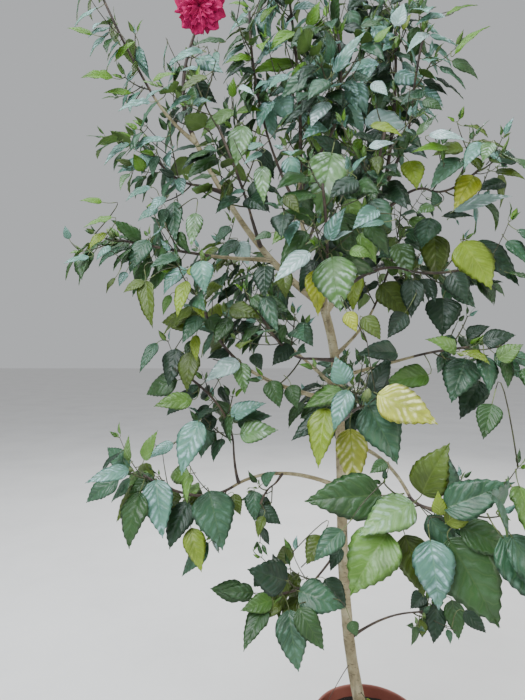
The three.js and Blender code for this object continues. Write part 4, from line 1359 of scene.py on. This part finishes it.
class Blade:
    """The mesh of a blade: lines that run out and forward from the midrib, joined by columns."""

    def __init__(self, lines, columns, stalk_mesh):
        self.stalk_mesh = stalk_mesh
        number = np.arange(lines + 1)
        along = (number / lines) ** LINE_CROWDING
        width = np.interp(along, OUTLINE_ALONG, OUTLINE_WIDTH)
        width[0], width[-1] = BLADE_FOOT_WIDTH, BLADE_TIP_WIDTH
        foot = np.maximum(along - LINE_SWEEP * width, LINE_STEP * number)
        foot[-1] = min(foot[-1], LAST_LINE_FOOT)
        toothed = (along > TOOTHED_FROM) & (along < TOOTHED_TO)
        even = number % 2 == 0
        tooth_out = np.where(toothed, np.where(even, *TEETH_OUT), 0)
        tooth_on = np.where(toothed, np.where(even, *TEETH_ON), 0)
        rows = []
        for k in range(lines + 1):
            sign = -1.0 if even[k] else 1.0
            calm = 1.0 if 0 < k < lines else 0.0
            for side in (-1, 1):
                for t in columns[1:]:
                    x = foot[k] + (along[k] + tooth_on[k] - foot[k]) * t
                    y = side * t * (width[k] + tooth_out[k])
                    rows.append((x, y, sign * math.sin(math.pi * t) * calm, k / 2, side * t, t == 1))
            rows.append((foot[k], 0.0, -MIDRIB_SUNK * calm, k / 2, 0.0, False))
        table = np.array(rows, float)
        self.x, self.across, self.relief = table[:, :3].T
        self.uv = table[:, 3:5]
        self.inner = np.where(table[:, 5] < 0.5)[0]
        spread = len(columns) - 1
        order = list(range(spread - 1, -1, -1)) + [2 * spread] + list(range(spread, 2 * spread))
        per_line = 2 * spread + 1
        faces = []
        for k in range(lines):
            low, high = k * per_line, (k + 1) * per_line
            for a, b in zip(order[:-1], order[1:]):
                faces.append((low + b, low + a, high + a))
                faces.append((low + b, high + a, high + b))
        self.faces = np.array(faces)
        numbers = np.arange(len(table))
        numbers[self.inner] = len(table) + np.arange(len(self.inner))
        self.under = numbers[self.faces][:, ::-1]

    def shape(self, leaf, draw):
        """The blade in its own frame: folded along its midrib, quilted, waved and drooping."""
        half = leaf.half or between(BLADE_HALF, draw)
        fold = between(BLADE_FOLD, draw)
        curl = between(BLADE_CURL, draw)
        waves = between(BLADE_WAVES, draw)
        shift = draw()
        height = between(BLADE_WAVE_HEIGHT, draw)
        bend = between(BLADE_BEND, draw)
        twist = between(BLADE_TWIST, draw)
        y = self.across * half
        z = fold * np.abs(y) - curl * y * y + QUILT * self.relief
        ripple = waves * self.x + shift + SIDES_SHIFT * np.sign(y)
        z = z + height * self.across**2 * np.sin(2 * math.pi * ripple)
        angle = twist * self.x
        y, z = y * np.cos(angle) - z * np.sin(angle), y * np.sin(angle) + z * np.cos(angle)
        turn = bend * (self.x - 0.5)
        x = (np.sin(turn) + math.sin(bend / 2)) / bend + z * np.sin(turn)
        z = (np.cos(turn) - math.cos(bend / 2)) / bend + z * np.cos(turn)
        start = leaf.along * math.cos(bend / 2) + leaf.normal * math.sin(bend / 2)
        return np.stack([x, y, z], 1), start

    def add(self, blades, leaf, tint):
        """A leaf's blade and its stalk, which arrives the way the blade sets off."""
        local, start = self.shape(leaf, looks)
        upper = leaf.base + local @ np.stack([leaf.along, leaf.across, leaf.normal]) * leaf.size
        lower = upper[self.inner] - leaf.normal * BLADE_THICKNESS
        faces = np.concatenate([self.faces, self.under])
        marks = np.repeat([TINT_NAMES.index(tint), UNDERSIDE], len(self.faces))
        uv = np.concatenate([self.uv, self.uv[self.inner]])
        blades.add(np.concatenate([upper, lower]), (faces,), marks, uv)
        reach = np.linalg.norm(leaf.base - leaf.foot)
        pull = leaf.base - start * reach * STALK_PULL
        line = Bend(leaf.foot, pull, leaf.base + start * leaf.size * STALK_IN_BLADE)
        radius = STALK_RADIUS + leaf.size * STALK_RADIUS_MORE
        tube_along(stalks, Limb(line, radius, radius), self.stalk_mesh, swell=stalk_swell)


def stalk_swell(along, radii):
    return radii * (1 + STALK_FOOT_MORE * (1 - along) ** 4)


# Bark: the relief that the trunk and boughs really have.
class Relief:
    """Swells, fine creases and leaf scars, by distance along a limb and angle round it."""

    def __init__(self, seed, length, radius):
        draw = seeded(seed)
        self.size = radius / TRUNK_FORK_RADIUS
        self.swells = [
            (
                between(SWELL_DEPTH, draw),
                int(between(SWELL_WAVES, draw)),
                between(SWELL_RATE, draw),
                ANY_TURN * draw(),
            )
            for _ in range(SWELLS)
        ]
        self.creases = [
            (between(CREASE_DEPTH, draw), between(CREASE_RATE, draw), ANY_TURN * draw())
            for _ in range(CREASES)
        ]
        self.scars = []
        place = SCAR_SPACING * draw()
        while place < length:
            self.scars.append((place, ANY_TURN * draw(), between(SCAR_DEPTH, draw)))
            place += SCAR_SPACING * between(SCAR_SPACING_SHARE, draw)

    def at(self, distance, angle):
        height = np.zeros((len(distance), len(angle)))
        for depth, waves, rate, shift in self.swells:
            height += depth * np.sin(waves * angle + rate * distance + shift)
        for depth, rate, shift in self.creases:
            bent = CREASE_BEND * np.sin(2 * angle + shift)
            height -= depth * np.maximum(0, np.sin(rate * distance + bent))
        for place, turn, depth in self.scars:
            off = np.abs((angle - turn + math.pi) % (2 * math.pi) - math.pi)
            for half_width, ahead, half_length, share, least in SCAR_HUMPS:
                across = (off / half_width) ** 2
                hump = np.exp(-across - ((distance - place - ahead) / half_length) ** 2)
                height += (share * depth + least) * hump
        return height * self.size


def add_trunk(joined):
    sides, step = TRUNK_MESH
    angles = ring_angles(sides)
    relief = Relief(TRUNK_SEED, TRUNK_HEIGHT, TRUNK_FORK_RADIUS)

    def swell(along, radii):
        distance = along * TRUNK_HEIGHT
        flare = ROOT_FLARE * np.exp(-distance / ROOT_FLARE_HEIGHT)
        lobes = FLARE_LOBE_SHARE * flare * np.cos(FLARE_LOBES * angles + FLARE_TURN)
        dome = np.sqrt(np.clip((1 - along) / TRUNK_DOME, TRUNK_DOME_LEAST, 1))
        return (radii + flare + lobes + relief.at(distance, angles)) * dome

    tube_along(joined, trunk, (sides, int(TRUNK_HEIGHT / step)), swell=swell)


def add_bough(joined, mass):
    sides, step = BOUGH_MESH
    angles = ring_angles(sides)
    bough, carrier = mass.bough, limbs[mass.on].radius(mass.start_along)
    relief = Relief(BOUGH_SEED + mass.index, bough.line.length, mass.girth)

    def swell(along, radii):
        distance = along * bough.line.length
        out = np.maximum(0, distance - carrier)
        collar = COLLAR * mass.girth * np.exp(-out / COLLAR_LENGTH)
        return radii + collar + relief.at(distance, angles)

    steps = max(BOUGH_STEPS_LEAST, int(bough.line.length / step))
    tube_along(joined, bough, (sides, steps), 0 if mass.girth > THICK_BOUGH else 1, swell=swell)


bark = Joined()
add_trunk(bark)
bark.piece("trunk_bark", [plain["old_bark"]], "bark", ["trunk"])
bough_bark = Joined()
for mass in masses:
    add_bough(bough_bark, mass)
bough_names = ["bough_" + mass.name for mass in masses]
bough_bark.piece("boughs_bark", [plain["old_bark"], plain["young_bark"]], "bark", bough_names)


# Twigs, leaves, and young leaves at the tips.
LARGE_BLADE = Blade(18, (0, 0.12, 0.45, 0.78, 1), (5, 4))
SMALL_BLADE = Blade(14, (0, 0.15, 0.55, 1), (4, 3))
TINY_BLADE = Blade(8, (0, 1), (3, 2))
looks = seeded(LOOKS_SEED)
twig_wood = Joined()
stalks = Joined()
foliage = []


def deal(tints):
    """One of some tints, by lot."""
    return tints[int(looks() * len(tints))]


def open_blades():
    """The piece of leaves that the next mass goes into, and the nodes that it replaces."""
    if not foliage or foliage[-1][0].triangles() + TRIANGLES_OF_A_MASS > MOST_TRIANGLES:
        foliage.append((Joined(), []))
    return foliage[-1]


def carry_out(leaf):
    """A thin shoot from a seen leaf's twig to the foot of its stalk, which is moved there."""
    end = leaf.base - leaf.along * SEEN_STALK
    span = np.linalg.norm(end - leaf.foot)
    pull = end - leaf.along * span * SEEN_SHOOT_SWEEP + vector((0, 0, SEEN_SHOOT_LIFT * span))
    line = Bend(leaf.foot, pull, end)
    tube_along(twig_wood, Limb(line, SHOOT_RADIUS, SHOOT_TIP_RADIUS), SEEN_SHOOT_MESH, 1)
    leaf.foot = end


def add_young_leaves(blades, twig, tints):
    """A tuft of small leaves at a twig's tip."""
    square = square_to(twig.line, 1)
    foot = twig.line.at(YOUNG_ALONG)
    turn = looks() * 2 * math.pi
    for k in range(YOUNG_LEAVES):
        size = YOUNG_LEAF * between(YOUNG_SIZES, looks)
        leaf = Leaf(foot, square, turn + k * TURN, size, between(YOUNG_DROOP, looks), looks() - 0.5)
        leaf.along = unit(leaf.along + square[0] * YOUNG_FORWARD)
        leaf.across = unit(np.cross(leaf.normal, leaf.along))
        leaf.normal = np.cross(leaf.along, leaf.across)
        leaf.half = YOUNG_LEAF_HALF
        ends = np.array([leaf.foot, leaf.base, leaf.base + leaf.along * leaf.size])
        tint = deal(tints)
        if not in_the_way(np.concatenate([ends, (ends[1:] + ends[:-1]) / 2])):
            TINY_BLADE.add(blades, leaf, tint)


for mass in masses:
    blades, replaced = open_blades()
    replaced.append(mass.node)
    stem = mass.stem
    sunk = STEM_SUNK if stem.line.length > LONG_STEM else 0
    tube_along(twig_wood, stem, STEM_MESH, start=-sunk)
    usual = TINTS_BY_MASS.get(mass.name, USUAL_TINTS)
    tints = {}
    for twig in mass.twigs:
        tints[id(twig)] = deal(usual)
        if twig is not stem:
            thin = twig.foot_radius <= SHOOT_RADIUS
            tube_along(twig_wood, twig, SHOOT_MESH if thin else TWIG_MESH, 1)
    for leaf in mass.leaves:
        tint = tints[id(leaf.twig)]
        if looks() < STRAY_TINT:
            tint = deal(usual)
        (SMALL_BLADE if leaf.fine else LARGE_BLADE).add(blades, leaf, tint)
    for leaf in seen_leaves:
        if leaf.mass is mass:
            if leaf.reach > 2 * SEEN_STALK:
                carry_out(leaf)
            LARGE_BLADE.add(blades, leaf, leaf.tint)
    for twig in mass.twigs:
        if twig is not BLOOM_MASS.stem:
            add_young_leaves(blades, twig, YOUNG_TINTS)


def low_twig(along, reach, lift, tip_radius, steps, mark):
    """A thin twig low on the trunk."""
    foot = trunk.line.at(along)
    end = foot + vector(reach)
    line = Bend(foot, lerp(foot, end, 0.5) + vector((0, 0, lift)), end)
    twig = Limb(line, LOW_TWIG_RADIUS, tip_radius)
    tube_along(twig_wood, twig, (LOW_TWIG_SIDES, steps), mark)
    return twig


add_young_leaves(foliage[-1][0], low_twig(*SPROUT), ("lime",))
low_twig(*DRY_TWIG)
for number, (blades, replaced) in enumerate(foliage, 1):
    blades.piece("foliage_%d" % number, leaf_materials, "foliage", replaced)
mass_nodes = [mass.node for mass in masses]
twig_wood.piece("twigs", [plain["young_bark"], plain["green_bark"]], "foliage", mass_nodes)
stalks.piece("leaf_stalks", [plain["stalk_green"]], "foliage", mass_nodes)


# Pot: a turned body with a foot, a band under a rolled lip and a plain inner wall.
def pot_radius(height):
    top = POT_RIM_RADIUS - RIM_STEP
    return POT_FOOT_RADIUS + (top - POT_FOOT_RADIUS) * height / (POT_HEIGHT - RIM_BAND)


def pot_profile():
    """The pot's section as radii and heights, from under its foot over the lip to its floor."""
    wall = np.linspace(*POT_WALL_HEIGHTS, POT_WALL_RINGS)
    inner = np.linspace(*POT_INNER_HEIGHTS, POT_INNER_RINGS)
    profile = [*POT_FOOT_SECTION, (pot_radius(POT_FOOT_ROUND), POT_FOOT_ROUND)]
    profile += [(pot_radius(height), height) for height in wall]
    profile += POT_RIM_SECTION
    profile += [(pot_radius(height) - POT_WALL, height) for height in inner]
    corner = pot_radius(POT_FLOOR) - POT_WALL - POT_CORNER
    return profile + [(corner, POT_FLOOR), (POT_HOLLOW, POT_FLOOR)]


pot = Joined()
turned_body(pot, vector((0, 0, 0)), vector((0, 0, 1)), pot_profile(), POT_SIDES)
pot.piece("pot_plastic_shell", [plain["pot_plastic"]], "pot", ["pot"])


# Soil: a closed body with a rough top, and crumbs and pale grains lying on it.
def soil_height(x, y):
    dip = SOIL_EDGE_DIP * (math.hypot(x, y) / SOIL_RADIUS) ** 3
    rough = sum(
        share * noise.noise(Vector((x / width, y / width, level)))
        for width, level, share in SOIL_BUMPS
    )
    return SOIL_TOP - SOIL_BODY_DOWN - dip + SOIL_ROUGHNESS * rough


def add_soil(joined):
    turns = ring_angles(SOIL_SIDES)
    rows = [[(radius, POT_FLOOR + GAP)] * SOIL_SIDES for radius in SOIL_FOOT_RADII]
    for height in SOIL_WALL_HEIGHTS:
        rows.append([(pot_radius(height) - POT_WALL - 2 * GAP, height)] * SOIL_SIDES)
    for radius in np.linspace(SOIL_RADIUS, SOIL_LAST_RADIUS, SOIL_RINGS):
        rows.append([(radius, soil_height(radius * math.cos(a), radius * math.sin(a))) for a in turns])
    radii, heights = np.moveaxis(np.array(rows), -1, 0)
    rings = np.stack([radii * np.cos(turns), radii * np.sin(turns), heights], -1)
    ends = [(0, 0, POT_FLOOR + GAP), (0, 0, soil_height(0, 0))]
    body_of_rings(joined, rings, ends)


def lump():
    """Points and faces of a body with twenty faces, which join the corners that are nearest."""
    golden = (1 + math.sqrt(5)) / 2
    pairs = [(s, t * golden) for s in (-1, 1) for t in (-1, 1)]
    points = [(0, s, t) for s, t in pairs] + [(s, t, 0) for s, t in pairs] + [(t, 0, s) for s, t in pairs]
    points = np.array(points)
    points /= np.linalg.norm(points[0])
    apart_by = np.linalg.norm(points[:, None] - points[None], axis=-1)
    edge = apart_by[apart_by > 0.1].min() + 0.01
    faces = []
    for a, b, c in itertools.combinations(range(len(points)), 3):
        if max(apart_by[a, b], apart_by[b, c], apart_by[a, c]) < edge:
            corners = points[[a, b, c]]
            outward = np.cross(corners[1] - corners[0], corners[2] - corners[0]) @ corners.sum(0) > 0
            faces.append((a, b, c) if outward else (a, c, b))
    return points, np.array(faces)


def add_crumbs(joined):
    points, faces = lump()
    draw = seeded(CRUMB_SEED)
    for k in range(CRUMBS + PALE_GRAINS):
        pale = k >= CRUMBS
        radius = (SOIL_RADIUS - CRUMB_MARGIN) * math.sqrt(draw())
        angle = 2 * math.pi * draw()
        x, y = radius * math.cos(angle), radius * math.sin(angle)
        least, more, power = GRAIN_SIZES if pale else CRUMB_SIZES
        size = least + more * draw() ** power
        if radius < TRUNK_FOOT_RADIUS + ROOT_FLARE + size:
            continue
        stretch = vector([between(limits, draw) for limits in CRUMB_STRETCH])
        wobble = vector([between(CRUMB_WOBBLE, draw) for _ in points])[:, None]
        place = vector((x, y, soil_height(x, y) + CRUMB_LIFT * size))
        joined.add(points * wobble * stretch * size + place, (faces,), 1 if pale else 0)


soil = Joined()
add_soil(soil)
add_crumbs(soil)
soil.piece("soil_top", [plain["soil_dark"], plain["grain_pale"]], "soil", ["soil"])


# Bloom: a double flower of ruffled petals on a curved stalk, with its calyx.
def petal_grid(radial, length, half, rise, ruffle, draw):
    """A petal's points: broad at its outer end, ruffled there, and standing up by rise."""
    tangent = np.cross(BLOOM_WAY, radial)
    u = np.linspace(PETAL_FOOT, 1, PETAL_ROWS)[:, None]
    v = np.linspace(-1, 1, PETAL_COLUMNS)
    edge = 1 - PETAL_ROUNDING * v**2
    for waves, depth in PETAL_SCALLOPS:
        edge = edge + depth * np.sin(waves * v + 5 * draw())
    out = u * edge
    opened = np.sin(np.minimum(out * PETAL_SPREAD, 1) * math.pi / 2) ** PETAL_SPREAD_POWER
    width = half * (PETAL_CLAW + (1 - PETAL_CLAW) * opened)
    lift = rise * (1 - PETAL_LEVELLING * out)
    radius = length * out * np.cos(lift)
    height = length * out * np.sin(lift) - PETAL_FALL * length * out**2
    wave = sum(
        share * np.sin(v * between(waves, draw) + ANY_TURN_OF_RUFFLE * draw())
        for waves, share in RUFFLE_WAVES
    )
    height = height + ruffle * out**2 * wave - PETAL_CUP * half * v**2 * out
    swing = np.cos(v * SWING_WAVES + ANY_TURN_OF_RUFFLE * draw())
    radius = radius + SWING_SHARE * ruffle * out**2 * swing
    grid = bloom_back + BLOOM_WAY * height[..., None] + radial * radius[..., None]
    uv = np.stack([out, v + 0 * out], -1)
    return grid + tangent * (width * v)[..., None], uv


def add_petals(joined):
    draw = seeded(PETAL_SEED)
    side = unit(np.cross(BLOOM_WAY, vector((0, 0, 1))))
    upward = np.cross(side, BLOOM_WAY)
    for count, length, half, rise, ruffle, first in PETAL_RINGS:
        for k in range(count):
            turn = first + 2 * math.pi * (k + PETAL_JITTER * draw()) / count
            radial = side * math.cos(turn) + upward * math.sin(turn)
            reach = length * between(PETAL_LENGTHS, draw)
            grid, uv = petal_grid(radial, reach, half, rise, ruffle, draw)
            sheet_body(joined, grid, PETAL_THICKNESS, 0, uv)


def calyx(centre, axis, size):
    """A cup with pointed lobes round the foot of a flower or bud, and narrow bracts under it."""
    side = unit(np.cross(axis, least_along(axis)))
    other = np.cross(axis, side)
    u = np.linspace(0, 1, 7)[:, None]
    v = np.linspace(-1, 1, 5)
    for count, length, half, open_by, first in CALYX_RINGS:
        for k in range(count):
            turn = first + 2 * math.pi * k / count
            radial = side * math.cos(turn) + other * math.sin(turn)
            tangent = np.cross(axis, radial)
            width = half * size * np.clip(CALYX_FULLNESS * (1 - u**CALYX_POINT_POWER), CALYX_TIP, 1)
            opened = np.sin(u * CALYX_CURVE) * (CALYX_OPEN_LEAST + open_by)
            radius = size * (CALYX_FOOT_RADIUS + CALYX_SPREAD * opened)
            height = size * length * (u - CALYX_BACK)
            out = radius - CALYX_HOLLOW * width * v**2
            grid = centre + axis * height[..., None] + radial * out[..., None]
            sheet_body(buds, grid + tangent * (width * v)[..., None], CALYX_THICKNESS, 1)


def bud(foot, way, size):
    """A closed flower bud in its calyx, on a short stalk."""
    seat = foot + unit(way + vector((0, 0, BUD_LIFT))) * size * BUD_STALK
    line = Bend(foot, foot + way * size * BUD_STALK / 2, seat)
    tube_along(bud_stalks, Limb(line, *BUD_STALK_RADII), BUD_STALK_MESH, 1)
    axis = line.heading(1)
    turned_body(buds, seat, axis, np.array(BUD_PROFILE) * size, BUD_SIDES)
    calyx(seat - axis * size * BUD_CALYX_BACK, axis, size * BUD_CALYX)


bloom = Joined()
add_petals(bloom)
bloom.piece("bloom_petals", [petal_material()], "foliage", [BLOOM_MASS.node])
buds = Joined()
bud_stalks = Joined()
for mass in masses:
    if mass.name in BUD_SIZES:
        bud(mass.stem.line.at(BUD_ALONG), mass.stem.line.heading(1), BUD_SIZES[mass.name])
peduncle_end = bloom_back - BLOOM_WAY * CALYX_LENGTH
calyx(peduncle_end, BLOOM_WAY, CALYX_LENGTH)
peduncle_foot = BLOOM_MASS.stem.line.at(PEDUNCLE_ALONG)
peduncle = Bend(peduncle_foot, peduncle_end + vector(PEDUNCLE_PULL), peduncle_end)
tube_along(bud_stalks, Limb(peduncle, *PEDUNCLE_RADII), PEDUNCLE_MESH, 1)
bud_masses = ["leaves_" + name for name in BUD_SIZES] + [BLOOM_MASS.node]
buds.piece("flower_buds", [plain["bud_green"], plain["calyx_green"]], "foliage", bud_masses)
bud_stalks.piece("flower_stalks", [plain["young_bark"], plain["stalk_green"]], "foliage", bud_masses)


# Floor, light and camera.
def soft_light(name, place, size, power, colour):
    light = bpy.data.lights.new(name, "AREA")
    light.shape = "SQUARE"
    light.size = size
    light.energy = power
    light.color = colour
    lamp = bpy.data.objects.new(name, light)
    lamp.location = place
    way = Vector(CROWN_CENTRE) - lamp.location
    lamp.rotation_euler = way.to_track_quat("-Z", "Y").to_euler()
    bpy.context.scene.collection.objects.link(lamp)


corners = [(x * FLOOR_HALF, y * FLOOR_HALF, 0) for x, y in ((-1, -1), (1, -1), (1, 1), (-1, 1))]
floor_mesh = bpy.data.meshes.new("floor")
floor_mesh.from_pydata(corners, [], [(0, 1, 2, 3)])
floor_mesh.materials.append(plain["floor_pale"])
floor = bpy.data.objects.new("floor", floor_mesh)
bpy.context.scene.collection.objects.link(floor)

world = bpy.data.worlds.new("soft_light")
world.use_nodes = True
background = world.node_tree.nodes["Background"]
background.inputs["Color"].default_value = SKY_COLOUR
background.inputs["Strength"].default_value = SKY_STRENGTH
bpy.context.scene.world = world
for row in LIGHTS:
    soft_light(*row)

camera_data = bpy.data.cameras.new("camera")
camera_data.lens = CAMERA_LENS
camera_data.sensor_width = CAMERA_SENSOR
camera_data.clip_end = 100
camera = bpy.data.objects.new("camera", camera_data)
camera.location = CAMERA_PLACE
camera.rotation_euler = (math.radians(90), 0, 0)
bpy.context.scene.collection.objects.link(camera)
bpy.context.scene.camera = camera
